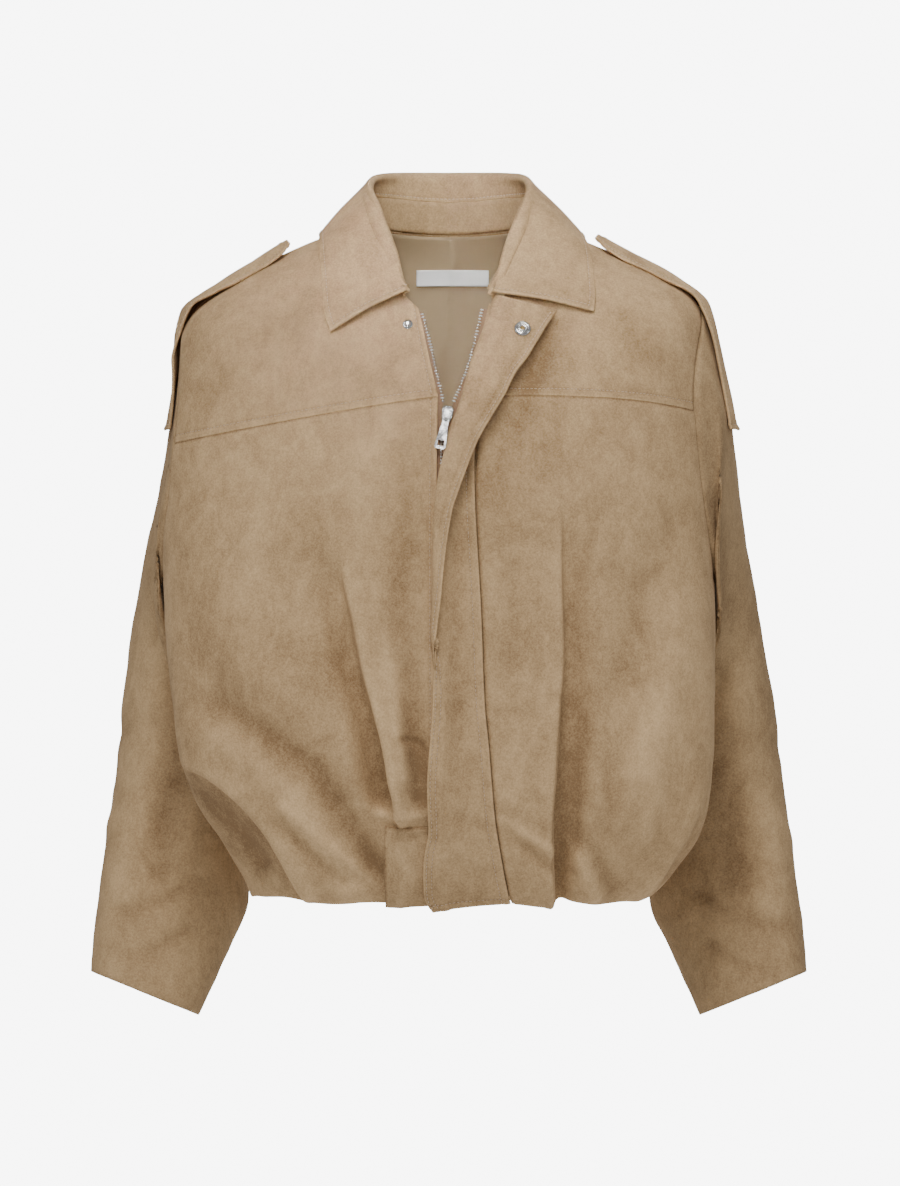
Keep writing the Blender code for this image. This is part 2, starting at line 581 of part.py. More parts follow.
def sleeve_point(side, clock, station):
    """The sleeve's outer face, with its folds pushed in or out from its middle line."""
    station = max(station, 0.0)
    point = sleeve_plain(side, clock, station)
    push = 0.0
    for fold in SLEEVE_FOLDS:
        off = (clock - fold.clock + 180) % 360 - 180
        level = station - fold.station - math.radians(fold.slant) * off / 90
        push += fold.depth * math.exp(-(level / fold.length) ** 2 - (off / fold.breadth) ** 2)
    middle = (point + sleeve_plain(side, clock + 180, station)) / 2
    push *= min(1.0, station / FULL_GAP_AT)
    gap = SLEEVE_GAP * min(1.0, station / FULL_GAP_AT)
    return clear_of_body(side, point + push * unit(point - middle), gap)


def sleeve_normal(side, clock, station):
    """The sleeve's outward normal, on the side away from its middle line."""
    def point_at(place, down):
        return sleeve_point(side, place, down)
    normal = surface_normal(point_at, clock, max(station, 0.05), 1.0, 0.05)
    return normal if side == "right" else -normal


def armhole_rim(side, clock):
    """The direction that both cut edges share along the armhole seam, halfway between the two
    walls, and the direction across the seam to the sleeve."""
    seam = armhole_point(side, clock)
    body_normal = surface_normal(ring_point, *armhole_place(side, clock))
    middle = (armhole_point(side, 90) + armhole_point(side, 270)) / 2
    away = seam - middle
    body_away = unit(away - away.dot(body_normal) * body_normal)
    sleeve_away = unit(sleeve_point(side, clock, 0.12) - seam)
    # under the arm the two walls hang side by side, so there the seam's edge points up
    hanging = max(0.0, -math.cos(math.radians(clock)))
    rim = unit(body_normal + sleeve_normal(side, clock, 0.1) + hanging * (body_away + sleeve_away))
    return rim, unit(sleeve_away - sleeve_away.dot(rim) * rim)


# ---------------------------------------------------------------- cloth walls

def grid_normals(points, ring=False):
    """Outward normals of a grid whose columns run round and whose rows run up."""
    if ring:
        around = np.roll(points, -1, axis=1) - np.roll(points, 1, axis=1)
    else:
        around = np.gradient(points, axis=1)
    along = np.gradient(points, axis=0)
    normals = np.cross(around, along)
    return normals / np.linalg.norm(normals, axis=2, keepdims=True)


def cut_back(points, sides, amount=SEAM):
    """Pull the named edges of a grid back along its own rows or columns."""
    points = points.copy()
    strips = {"low": (points[0], points[1]), "high": (points[-1], points[-2]),
              "first": (points[:, 0], points[:, 1]), "last": (points[:, -1], points[:, -2])}
    for side in sides:
        edge, inner = strips[side]
        step = inner - edge
        edge += amount * step / np.linalg.norm(step, axis=1, keepdims=True)
    return points


def new_material(name, colour, rough, metal=0.0):
    material = bpy.data.materials.new(name)
    material.use_nodes = True
    shader = material.node_tree.nodes["Principled BSDF"]
    shader.inputs["Base Color"].default_value = (*colour, 1)
    shader.inputs["Roughness"].default_value = rough
    shader.inputs["Metallic"].default_value = metal
    material.diffuse_color = (*colour, 1)
    return material


def new_object(name, mesh_points, faces, look):
    mesh = bpy.data.meshes.new(name)
    mesh.from_pydata([tuple(point * MM) for point in mesh_points], [], faces)
    mesh.materials.append(new_material(name, *look))
    mesh.shade_smooth()
    mesh.set_sharp_from_angle(angle=math.radians(40))
    piece = bpy.data.objects.new(name, mesh)
    bpy.context.collection.objects.link(piece)
    return piece


def cloth_wall(name, points, normals, thick, look, ring=False):
    """A closed wall between a grid of outer points and the same grid one thickness in."""
    rows, columns = points.shape[:2]
    outer = points.reshape(-1, 3)
    inner = (points - thick * normals).reshape(-1, 3)
    shift = rows * columns
    spans = columns if ring else columns - 1

    def at(row, column):
        return row * columns + column % columns

    faces = []
    for c in range(spans):
        for r in range(rows - 1):
            face = [at(r, c), at(r, c + 1), at(r + 1, c + 1), at(r + 1, c)]
            faces.append(face)
            faces.append([shift + k for k in reversed(face)])
        top = rows - 1
        faces.append([shift + at(0, c), shift + at(0, c + 1), at(0, c + 1), at(0, c)])
        faces.append([at(top, c), at(top, c + 1), shift + at(top, c + 1), shift + at(top, c)])
    if not ring:
        for r in range(rows - 1):
            end = columns - 1
            faces.append([at(r, 0), at(r + 1, 0), shift + at(r + 1, 0), shift + at(r, 0)])
            faces.append([at(r + 1, end), at(r, end), shift + at(r, end), shift + at(r + 1, end)])
    return new_object(name, np.vstack([outer, inner]), faces, look)


# ---------------------------------------------------------------- body panels

def spaced(*stops):
    """Places from one stop to the next, each pair with its own count of steps."""
    places = [stops[0]]
    for steps, stop in zip(stops[1::2], stops[2::2]):
        places += list(np.linspace(places[-1], stop, steps + 1)[1:])
    return places


ARM_ROWS = [ARM_MIDDLE + ARM_HALF * math.cos(math.radians(clock)) for clock in HALF_CLOCKS[::-1]]
HALFWAY = len(ARM_ROWS) // 2
LOW_ROWS = spaced(0, 2, HEM, 2, 2, 11, UNDERARM)[:-1] + ARM_ROWS[:HALFWAY + 1]
HIGH_ROWS = ARM_ROWS[HALFWAY:] + spaced(SHOULDER_END, 3, NECK)[1:]
ALL_ROWS = LOW_ROWS + HIGH_ROWS[1:]


def body_panel(rows, turns_at, surface=body_point, lift_at=lambda row: 0.0):
    """Points and normals of a part of the body whose columns' turns are given by row."""
    points, normals = [], []
    for row in rows:
        turns = turns_at(row)
        upright = [surface_normal(surface, turn, row) for turn in turns]
        lift = lift_at(row)
        points.append([surface(turn, row) + lift * normal for turn, normal in zip(turns, upright)])
        normals.append(upright)
    return np.array(points), np.array(normals)


def mitre_armhole(normals, rows, column, side, face):
    """Turn the cut edge along the armhole halfway towards the sleeve."""
    for k, row in enumerate(rows):
        high = (row - ARM_MIDDLE) / ARM_HALF
        if abs(high) < 0.999:
            clock = math.degrees(math.acos(high))
            normals[k, column] = armhole_rim(side, clock if face == "front" else 360 - clock)[0]


def fold_line(name):
    """A fold's route as x by height."""
    route = next(fold.route for fold in FOLDS if fold.name == name)
    heights = [z for x, z in reversed(route)]
    across = [x for x, z in reversed(route)]
    return lambda z: float(np.interp(z, heights, across))


def build_fronts(plan):
    """A front and its yoke, from the zip or the flap's seam to the side and the armhole."""
    sign = SIDES[plan.side]
    edge = (lambda z: zip_edge(z, "left")) if plan.side == "left" else flap_seam
    fold = fold_line(plan.pleat)
    shares = spaced(0, plan.near_steps, plan.pleat_share, 1, plan.pleat_share + STEP_SHARE,
                    plan.far_steps, 1)

    def full_turns(row):
        """Columns as far as the side, as if there were no armhole."""
        start, end = turn_on_line(edge, row), sign * 90
        if row > YOKE:      # the yoke's columns go on from the ones below, evenly
            below = full_turns(YOKE)
            return start + (below - below[0]) / (below[-1] - below[0]) * (end - start)
        crest = turn_on_line(lambda z: fold(z) - sign * STEP / 2, row)
        foot = turn_on_line(lambda z: fold(z) + sign * STEP / 2, row)
        pins = [0, plan.pleat_share, plan.pleat_share + STEP_SHARE, 1]
        return np.interp(shares, pins, [start, crest, foot, end])

    def turns_at(row):
        pulled = armhole_turn(plan.side, "front", row) - sign * 90
        turns = full_turns(row) + pulled * np.array(shares) ** PULL_NEAR_EDGE
        return turns if plan.side == "right" else turns[::-1]

    outer_column = -1 if plan.side == "right" else 0
    for name, rows, seam in (("front_", LOW_ROWS, "high"), ("yoke_front_", HIGH_ROWS, "low")):
        points, normals = body_panel(rows, turns_at)
        mitre_armhole(normals, rows, outer_column, plan.side, "front")
        points = cut_back(points, [seam, "first", "last"])
        cloth_wall(name + plan.side, points, normals, SUEDE, SUEDE_LOOK)


def back_turns(row, inset=0.0, columns=BACK_COLUMNS):
    """Turns from the right side seam or armhole round the back to the left one."""
    shares = np.linspace(0, 1, columns + 1)
    turns = 90 + inset + shares * (180 - 2 * inset)
    turns += (armhole_turn("right", "back", row) - 90) * (1 - shares) ** (2 * PULL_NEAR_EDGE)
    turns += (armhole_turn("left", "back", row) + 90) * shares ** (2 * PULL_NEAR_EDGE)
    return [turn if turn <= 180 else turn - 360 for turn in turns]


def build_back():
    """The back in one piece, up to the shoulder seams and the neck."""
    points, normals = body_panel(ALL_ROWS, back_turns)
    mitre_armhole(normals, ALL_ROWS, 0, "right", "back")
    mitre_armhole(normals, ALL_ROWS, -1, "left", "back")
    cloth_wall("back", cut_back(points, ["first", "last"]), normals, SUEDE, SUEDE_LOOK)


def build_back_lining():
    """The lining behind the neck opening, which covers the inside of the whole back."""
    rows = spaced(HEM + 0.6, 6, UNDERARM, 6, SHOULDER_END, 2, NECK)

    def turns_at(row):
        return back_turns(row, LINING_INSET, LINING_COLUMNS)

    points, normals = body_panel(rows, turns_at, ring_at, lambda row: -lining_depth(row))
    cloth_wall("lining_back", cut_back(points, ["high"], 1.0), normals, LINING, LINING_LOOK)


# ---------------------------------------------------------------- sleeves

CLOCKS = list(HALF_CLOCKS) + [360 - clock for clock in HALF_CLOCKS[-2:0:-1]]
SLEEVE_STATIONS = spaced(0, 1, 0.25, 1, 0.6, 1, 1.0, 12, 9)


def build_sleeve(side):
    """A sleeve in one piece, from the armhole seam down to its plain open hem."""
    clocks = CLOCKS if side == "right" else CLOCKS[::-1]
    points = np.array([[sleeve_point(side, clock, station) for clock in clocks]
                       for station in SLEEVE_STATIONS])
    rims = [armhole_rim(side, clock) for clock in clocks]
    points[0] += 2 * SEAM * np.array([across for rim, across in rims])
    normals = grid_normals(points, ring=True)
    normals[0] = [rim for rim, across in rims]
    cloth_wall("sleeve_" + side, points, normals, SUEDE, SUEDE_LOOK, ring=True)


# ---------------------------------------------------------------- collar

def neck_point(turn, rise=0.0, lean=0.0):
    """A point over the neck seam, raised, and leaning in towards the neck."""
    foot = body_point(turn, NECK)
    inwards = unit(np.array([-foot[0], 8 - foot[1], 0.0]))
    return foot + lean * inwards + np.array([0.0, 0.0, rise])


def collar_turn(round_share, side):
    """The turn on the neck seam under a collar row."""
    return SIDES[side] * (180 - (180 - COLLAR_FRONT_TURN) * round_share)


def collar_rows(side, steps):
    """The collar's rows on one side, evenly read from the centre back to the front end."""
    table = numbers(COLLAR_LEFT if side == "left" else COLLAR_RIGHT)
    return [smooth_read(table, place) for place in np.linspace(0, len(table) - 1, steps + 1)]


def build_stand():
    """The stand between the neck seam and the leaf."""
    columns = []
    for side in ("right", "left"):
        rows = collar_rows(side, COLLAR_STEPS)
        rows = rows[::-1] if side == "right" else rows[1:]
        for row in rows:
            turn, foot = collar_turn(row[0], side), STAND_FOOT + STAND_FOOT_MORE * row[0] ** 2
            columns.append([neck_point(turn, foot + share * (row[1] + STAND_FOOT_MORE - foot),
                                       STAND_LEAN * share) for share in (0, 0.5, 1)])
    points = np.array(columns).transpose(1, 0, 2)
    cloth_wall("collar_stand", points, grid_normals(points), SUEDE, SUEDE_LOOK)


def leaf_section(row, side):
    """A collar section, from the stand's top over the roll and down to the leaf's edge."""
    share, stand = row[0], row[1]
    roll, edge = row[2:5].copy(), row[5:8]
    rise = stand + STAND_FOOT + STAND_FOOT_MORE * (1 + share ** 4)
    foot = neck_point(collar_turn(share, side), rise, STAND_LEAN + DOUBLED - SUEDE)
    roll[2] = max(roll[2], foot[2] + 4.0)
    outward = unit(np.array([edge[0] - foot[0], edge[1] - foot[1], 0.0]))
    if share > LEAF_LIES:   # in front the edge lies over the yoke
        lying = over_front(edge[0], edge[2], LEAF_LIFT)
        settled = min((share - LEAF_LIES) / 0.1, 1.0)
        edge = edge + settled * (lying - edge)
    half = min(ROLL_HALF, max(0.4 * (roll[2] - foot[2]), ROLL_LEAST))
    inner = roll - half * outward - np.array([0, 0, 0.7 * half])
    outer = roll + half * outward - np.array([0, 0, 0.9 * half])
    middle = (outer + edge) / 2 + 1.5 * outward + np.array([0, 0, 1.5])
    if share > LEAF_LIES:
        near = over_front(middle[0], middle[2], LEAF_LIFT + 1.0)
        middle[1] = min(middle[1], near[1])
    rising = foot + (inner - foot) * LEAF_RISE
    stops = np.array([foot, rising, inner, roll, outer, middle, edge])
    places = (0, 1, 2, 2.6, 3, 3.5, 4, 4.5, 5, 5.5, 6)
    return [smooth_read(stops, place) for place in places]


def build_leaf():
    """The collar's leaf, sewn to the stand and rolled over to its free edge."""
    left = [leaf_section(row, "left") for row in collar_rows("left", COLLAR_STEPS)]
    right = [leaf_section(row, "right") for row in collar_rows("right", COLLAR_STEPS)]
    points = np.array(left[::-1] + right[1:]).transpose(1, 0, 2)
    cloth_wall("collar_leaf", points, grid_normals(points), DOUBLED, SUEDE_LOOK)


# ---------------------------------------------------------------- front flap and zip

def flap_section(row):
    """A section of the flap, from its free edge back over the fold to the seam."""
    seam_x, seam_z, fold_x, fold_z, free_x, free_z, dip, crest, tip = row
    low_x, low_z = (seam_x + fold_x) / 2, (seam_z + fold_z) / 2
    top_x, top_z = 0.7 * fold_x + 0.3 * free_x, 0.7 * fold_z + 0.3 * free_z
    stops = np.array([
        over_front(free_x, free_z, tip),
        over_front(top_x, top_z, (crest + tip) / 2 + 1.0),
        over_front(fold_x, fold_z, crest),
        over_front(low_x, low_z, dip),
        over_front(flap_seam(seam_z) - FLAP_GAP, seam_z, 0.0),
    ])
    return [smooth_read(stops, place) for place in (0, 0.5, 1, 1.4, 1.7, 2, 2.3, 2.6, 3, 3.5, 4)]


def build_flap():
    """The flap over the zip; its upper part is turned back and shows its underside."""
    table = numbers(FLAP_ROWS)
    points = np.array([flap_section(smooth_read(table, place))
                       for place in np.linspace(0, len(table) - 1, FLAP_STEPS + 1)])
    cloth_wall("front_flap", points, grid_normals(points), DOUBLED, SUEDE_LOOK)


def front_strip(name, start_x, end_x, start_lift, end_lift, top, foot, steps, thick, look):
    """An upright strip under or over the front; x is by height and lift from edge to edge."""
    points, normals = [], []
    for z in np.linspace(foot, top, steps + 1):
        places = [front_place(start_x(z) + share * (end_x(z) - start_x(z)), z)
                  for share in (0, 1 / 3, 2 / 3, 1)]
        upright = [surface_normal(body_point, *place) for place in places]
        lifts = np.linspace(start_lift, end_lift, len(places))
        points.append([body_point(*place) + lift * normal
                       for place, lift, normal in zip(places, lifts, upright)])
        normals.append(upright)
    cloth_wall(name, np.array(points), np.array(normals), thick, look)


def facing_edge(z):
    """The facing's edge beside the zip, with room for the slider."""
    near = math.exp(-((z - SLIDER_TOP + SLIDER_LENGTH / 2) / 10) ** 2)
    return zip_edge(z, "right") + 1.0 + 3.0 * near


def build_zip_cloth():
    """The facing that the flap covers, and the two woven tapes behind the fronts' edges."""
    behind = FACING_DEPTH + FACING + CLEAR
    front_strip("facing_right", facing_edge, lambda z: flap_seam(z) + 6,
                -FACING_DEPTH, -FACING_DEPTH - 1.2, -58.0, -544.0, ZIP_STEPS, FACING, SUEDE_LOOK)
    front_strip("zip_tape_left", lambda z: zip_edge(z, "left") - 9,
                lambda z: zip_edge(z, "left") + TEETH_IN - 0.3,
                -TAPE_DEPTH, -TAPE_DEPTH, ZIP_TOP, ZIP_FOOT, ZIP_STEPS, TAPE, TAPE_LOOK)
    front_strip("zip_tape_right", lambda z: zip_edge(z, "right") - TEETH_IN + 0.3,
                lambda z: zip_edge(z, "right") + 9, -behind, -behind - CLEAR, ZIP_TOP, ZIP_FOOT,
                ZIP_STEPS, TAPE, TAPE_LOOK)


def build_waist_tab():
    """The end of the waist's band, which lies on the left front beside the flap."""
    front_strip("waist_tab", lambda z: TAB_LEFT_X, lambda z: TAB_RIGHT_X, TAB_LIFT, TAB_LIFT,
                TAB_TOP, TAB_FOOT, TAB_STEPS, SUEDE, SUEDE_LOOK)


# ---------------------------------------------------------------- straps and label

def shoulder_ground(side, y, row):
    """The body's shoulder at a row and y."""
    reads = smooth_read(RING_NUMBERS, row)
    face_y, square = (reads[6], FRONT_SQUARE) if y < reads[7] else (reads[8], BACK_SQUARE)
    aside = math.degrees(math.asin(((y - reads[7]) / (face_y - reads[7])) ** (square / 2)))
    turn = SIDES[side] * (90 - aside if y < reads[7] else 90 + aside)
    return body_point(turn, row), surface_normal(body_point, turn, row)


def sleeve_ground(side, y, station):
    """The sleeve's top at a station and y."""
    low, high = -80.0, 80.0
    for _ in range(24):
        clock = (low + high) / 2
        if sleeve_point(side, clock, station)[1] > y:
            low = clock
        else:
            high = clock
    return sleeve_point(side, clock, station), sleeve_normal(side, clock, station)


def build_strap(side):
    """The strap from its pointed neck end over the shoulder and down on the sleeve."""
    points = []
    for row in STRAP_LEFT if side == "left" else STRAP_RIGHT:
        section = []
        for share in STRAP_SHARES:
            y = row.y + share * row.half_width
            find = shoulder_ground if row.ground == "body" else sleeve_ground
            ground, out = find(side, y, row.place)
            lift = row.lift - row.droop * share ** 2 + DOUBLED
            section.append(clear_of_body(side, ground + lift * out, lift))
        points.append(section)
    points = np.array(points)[::-1]
    points = np.array([smooth_read(points, k / 2) for k in range(2 * len(points) - 1)])
    if side == "left":
        points = points[:, ::-1]
    cloth_wall("epaulette_" + side, points, grid_normals(points), DOUBLED, SUEDE_LOOK)


def back_place(x, z):
    """Turn and row of the body's back at x and z."""
    low, high = float(HEM), float(NECK)
    for _ in range(30):
        row = (low + high) / 2
        reach = smooth_read(RING_NUMBERS, row)[5 if x >= 0 else 4]
        aside = math.degrees(math.asin(min(abs(x / reach), 1.0) ** (BACK_SQUARE / 2)))
        turn = math.copysign(180 - aside, x)
        if ring_point(turn, row)[2] < z:
            low = row
        else:
            high = row
    return turn, row


def lining_depth(row):
    """How far inside the back the lining's outer face lies."""
    return float(np.interp(row, [ARM_MIDDLE, NECK], [LINING_SLACK, SUEDE + 2 * CLEAR]))


def build_label():
    """The blank label on the lining behind the neck."""
    points = []
    for z in np.linspace(LABEL_TOP - LABEL_HEIGHT, LABEL_TOP, 3):
        line = []
        for x in np.linspace(LABEL_X - LABEL_WIDTH / 2, LABEL_X + LABEL_WIDTH / 2, 9):
            place = back_place(x, z)
            depth = lining_depth(place[1]) + LINING + LABEL_GAP + LABEL_THICK
            line.append(ring_point(*place) - depth * surface_normal(ring_at, *place))
        points.append(line)
    points = np.array(points)
    cloth_wall("neck_label", points, grid_normals(points), LABEL_THICK, LABEL_LOOK)


# ---------------------------------------------------------------- metal pieces

def turned_piece(name, centre, out, profile, look):
    """A round piece from (radius, height) stops; the first one stands on the middle line."""
    side = unit(np.cross(out, [0.0, 0.0, 1.0]))
    up = np.cross(side, out)
    points = [centre + profile[0][1] * out]
    for radius, height in profile[1:]:
        for k in range(ROUND_STEPS):
            turn = 2 * math.pi * k / ROUND_STEPS
            points.append(centre + height * out + radius * (math.cos(turn) * side + math.sin(turn) * up))
    faces = []
    for k in range(ROUND_STEPS):
        after = (k + 1) % ROUND_STEPS
        faces.append([0, 1 + after, 1 + k])
        for ring in range(len(profile) - 2):
            base = 1 + ring * ROUND_STEPS
            faces.append([base + k, base + after, base + ROUND_STEPS + after, base + ROUND_STEPS + k])
    last = 1 + (len(profile) - 2) * ROUND_STEPS
    faces.append([last + k for k in range(ROUND_STEPS)])
    return new_object(name, points, faces, look)


def flap_back_place(x, z):
    """The underside of the turned-back flap nearest to x and z, and its normal."""
    table = numbers(FLAP_ROWS)
    rows = np.linspace(len(table) - 5, len(table) - 1, 33)
    sections = np.array([flap_section(smooth_read(table, row))[:5] for row in rows])
    normals = grid_normals(sections)
    underside = sections - DOUBLED * normals
    off = np.hypot(underside[..., 0] - x, underside[..., 2] - z)
    found = np.unravel_index(off.argmin(), off.shape)
    return underside[found], -normals[found]


def build_snap():
    """The two halves of the snap, on the left front and on the flap's underside."""
    place = front_place(STUD_X, STUD_Z)
    out = surface_normal(body_point, *place)
    turned_piece("snap_stud", body_point(*place) + SNAP_GAP * out, out, STUD_PROFILE, METAL_LOOK)
    centre, out = flap_back_place(SOCKET_X, SOCKET_Z)
    turned_piece("snap_socket", centre + SNAP_GAP * out, out, SOCKET_PROFILE, METAL_LOOK)


def slider_frame():
    """The slider's middle on the body's face, and its directions across, down and out."""
    middle_z = SLIDER_TOP - SLIDER_LENGTH / 2
    middle = over_front(SLIDER_X, middle_z, 0)
    below = over_front(SLIDER_X, middle_z - SLIDER_LENGTH, 0)
    out = surface_normal(body_point, *front_place(SLIDER_X, middle_z))
    plumb = unit(below - middle)
    lean = math.radians(SLIDER_LEAN)
    down = unit(math.cos(lean) * plumb + math.sin(lean) * unit(np.cross(plumb, out)))
    out = unit(out - out.dot(down) * down)
    return middle, np.cross(out, down), down, out


def build_slider():
    """The slider's two plates and the neck between them, and the bridge for the pull tab."""
    middle, across, down, out = slider_frame()

    def place(a, d, lift):
        return middle + a * across + (d - SLIDER_LENGTH / 2) * down + lift * out

    points, faces = [], []
    count = len(SLIDER_OUTLINE)
    for layer in SLIDER_LAYERS:
        for a, d in SLIDER_OUTLINE:
            points.append(place(layer.off + a * layer.wide, layer.start + d * layer.long, layer.lift))
    for level in range(len(SLIDER_LAYERS) - 1):
        for k in range(count):
            a, b = level * count + k, level * count + (k + 1) % count
            faces.append([a, b, b + count, a + count])
    faces.append([k for k in reversed(range(count))])
    faces.append([len(points) - count + k for k in range(count)])
    slider = new_object("zip_slider", points, faces, METAL_LOOK)

    count = len(BRIDGE_PROFILE)
    points = [place(a, d, lift) for a in (-BRIDGE_HALF, BRIDGE_HALF) for d, lift in BRIDGE_PROFILE]
    faces = [[k, (k + 1) % count, count + (k + 1) % count, count + k] for k in range(count)]
    half = count // 2
    for k in range(half - 1):
        near = [k, k + 1, count - 2 - k, count - 1 - k]
        faces.append(near[::-1])
        faces.append([count + n for n in near])
    bridge = new_object("zip_slider_bridge", points, faces, METAL_LOOK)
    bridge.hide_render = True
    bridge.display_type = "WIRE"
    joining = slider.modifiers.new("bridge", "BOOLEAN")
    joining.operation = "UNION"
    joining.solver = "EXACT"
    joining.object = bridge


def build_pull():
    """The pull tab, hung on the slider's bridge; its origin is on its hinge."""
    middle, across, down, out = slider_frame()
    pivot = middle + PULL_PIVOT_LIFT * out
    end = over_front(PULL_END_X, PULL_END_Z, PULL_END_LIFT)
    along = unit(end - pivot)
    axis = unit(np.cross(out, along))
    outward = np.cross(along, axis)
    points, faces = [], []
    for lift in (PULL_THICK / 2, -PULL_THICK / 2):
        for row in PULL_ROWS:
            for a in (-row.half, -row.hole, row.hole, row.half):
                points.append(a * axis + row.down * along + lift * outward)
    rows, shift = len(PULL_ROWS), 4 * len(PULL_ROWS)
    kept = {(r, c) for r in range(rows - 1) for c in range(3) if c != 1 or not PULL_ROWS[r].open}
    for r, c in sorted(kept):
        corners = [4 * r + c, 4 * r + 4 + c, 4 * r + 5 + c, 4 * r + 1 + c]
        faces.append(corners)
        faces.append([shift + k for k in reversed(corners)])
        beside = [(r, c - 1), (r + 1, c), (r, c + 1), (r - 1, c)]
        for k, cell in enumerate(beside):
            if cell not in kept:
                a, b = corners[k], corners[(k + 1) % 4]
                faces.append([b, a, shift + a, shift + b])
    tab = new_object("zip_pull_tab", points, faces, METAL_LOOK)
    tab.location = tuple(pivot * MM)


# ---------------------------------------------------------------- start

for front_plan in FRONT_PLANS:
    build_fronts(front_plan)
build_back()
build_back_lining()
for sleeve_side in SIDES:
    build_sleeve(sleeve_side)
    build_strap(sleeve_side)
build_stand()
build_leaf()
build_flap()
build_zip_cloth()
build_waist_tab()
build_label()
build_snap()
build_slider()
build_pull()
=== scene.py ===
"""The looks of a suede blouson: cloth with its folds, sewing, zip and snap, over its solids.

Metres, +Z up.  The front faces -Y, and "left" and "right" are as seen from the front.  Every
cloth wall is read from its solid as a grid, drawn finer, creased and given its thickness
again.
"""
import math
from collections import namedtuple
from itertools import combinations

import bmesh
import bpy
import numpy as np
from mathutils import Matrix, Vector, noise
from mathutils.bvhtree import BVHTree


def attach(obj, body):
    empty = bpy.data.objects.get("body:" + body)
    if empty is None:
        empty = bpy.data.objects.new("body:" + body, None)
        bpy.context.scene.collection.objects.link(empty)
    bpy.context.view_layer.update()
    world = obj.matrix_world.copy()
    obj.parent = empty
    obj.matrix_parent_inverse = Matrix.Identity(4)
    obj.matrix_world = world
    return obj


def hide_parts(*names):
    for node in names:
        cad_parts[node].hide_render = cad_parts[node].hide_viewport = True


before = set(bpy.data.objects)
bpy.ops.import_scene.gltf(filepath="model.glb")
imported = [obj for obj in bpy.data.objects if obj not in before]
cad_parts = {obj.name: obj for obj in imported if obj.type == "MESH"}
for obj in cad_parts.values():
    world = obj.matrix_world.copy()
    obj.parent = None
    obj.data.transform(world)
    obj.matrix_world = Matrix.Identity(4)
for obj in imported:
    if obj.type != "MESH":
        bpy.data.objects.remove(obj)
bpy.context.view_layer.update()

# -------------------- the studio
# A plain pale floor under the jacket in a bright empty room, with a soft wide light from the
# front and above, a small one on the neck, one from behind and a faint one on each side, and a
# camera with a long lens straight before the front.

PIXEL = 0.00082                 # one pixel of the 900 x 1186 picture, on the jacket
PICTURE = (900, 1186)
AXIS_PIXEL, COLLAR_PIXEL = 449, 233     # where x = 0 and z = 0 stand in the picture
CAMERA_AWAY, CAMERA_REACH, SENSOR = 14.0, 60, 36
FLOOR, FLOOR_RADIUS, FLOOR_GREY = -1.05, 1.6, 0.90
ROOM_LIGHT, ROOM_SEEN = 0.32, 7.8       # how bright the room is for the jacket and for the camera


def put(name, data):
    """Puts a new object into the scene."""
    thing = bpy.data.objects.new(name, data)
    bpy.context.collection.objects.link(thing)
    return thing


def give(socket, value):
    """Sets a node's input to a value, or joins another node to it."""
    if isinstance(value, bpy.types.Node):
        value = value.outputs[0]
    if isinstance(value, bpy.types.NodeSocket):
        socket.id_data.links.new(value, socket)
    else:
        socket.default_value = value


def add_node(tree, kind, settings=None, **inputs):
    """Adds a node.  Each input, by its name or by n and its number, is a value or a node."""
    made = tree.nodes.new(kind)
    for name, value in (settings or {}).items():
        setattr(made, name, value)
    for name, value in inputs.items():
        key = int(name[1:]) if name[0] == "n" and name[1:].isdigit() else name.replace("_", " ")
        give(made.inputs[key], value)
    return made


class Look:
    """A material, made from its shader's own values and from nodes that are joined to it."""

    def __init__(self, name, **values):
        self.material = bpy.data.materials.new(name)
        self.material.use_nodes = True
        self.shader = self.material.node_tree.nodes["Principled BSDF"]
        for socket, value in values.items():
            give(self.shader.inputs[socket.replace("_", " ")], value)

    def node(self, kind, settings=None, **inputs):
        return add_node(self.material.node_tree, kind, settings, **inputs)

    def place(self):
        return self.node("ShaderNodeTexCoord").outputs["Object"]

    def blotches(self, place, scale, detail, rough, distort=0.0):
        return self.node("ShaderNodeTexNoise", Vector=place, Scale=scale, Detail=detail,
                         Roughness=rough, Distortion=distort)

    def spread(self, value, low, high, to_low, to_high):
        """Moves a value between low and high softly to one between two others."""
        return self.node("ShaderNodeMapRange", {"interpolation_type": "SMOOTHSTEP"}, Value=value,
                         From_Min=low, From_Max=high, To_Min=to_low, To_Max=to_high)

    def sum(self, one, two, kind="ADD"):
        return self.node("ShaderNodeMath", {"operation": kind}, n0=one, n1=two)

    def times(self, one, two):
        return self.sum(one, two, "MULTIPLY")

    def paint(self, tone, deep, pale):
        """Colours the surface from deep to pale by a tone."""
        ramp = self.node("ShaderNodeValToRGB", Fac=tone)
        for element, colour in zip(ramp.color_ramp.elements, (deep, pale)):
            element.color = (*colour, 1)
        give(self.shader.inputs["Base Color"], ramp)
        self.material.diffuse_color = (*pale, 1)

    def emboss(self, height, strength, distance):
        """Gives the surface a fine relief."""
        bump = self.node("ShaderNodeBump", Strength=strength, Distance=distance, Height=height)
        give(self.shader.inputs["Normal"], bump)


camera = put("camera", bpy.data.cameras.new("camera"))
camera.data.sensor_width = SENSOR
camera.data.clip_end = CAMERA_REACH
camera.data.lens = SENSOR * CAMERA_AWAY / (PICTURE[1] * PIXEL)
camera.location = ((PICTURE[0] / 2 - AXIS_PIXEL) * PIXEL, -CAMERA_AWAY,
                   (COLLAR_PIXEL - PICTURE[1] / 2) * PIXEL)
camera.rotation_euler = (math.pi / 2, 0, 0)
bpy.context.scene.camera = camera

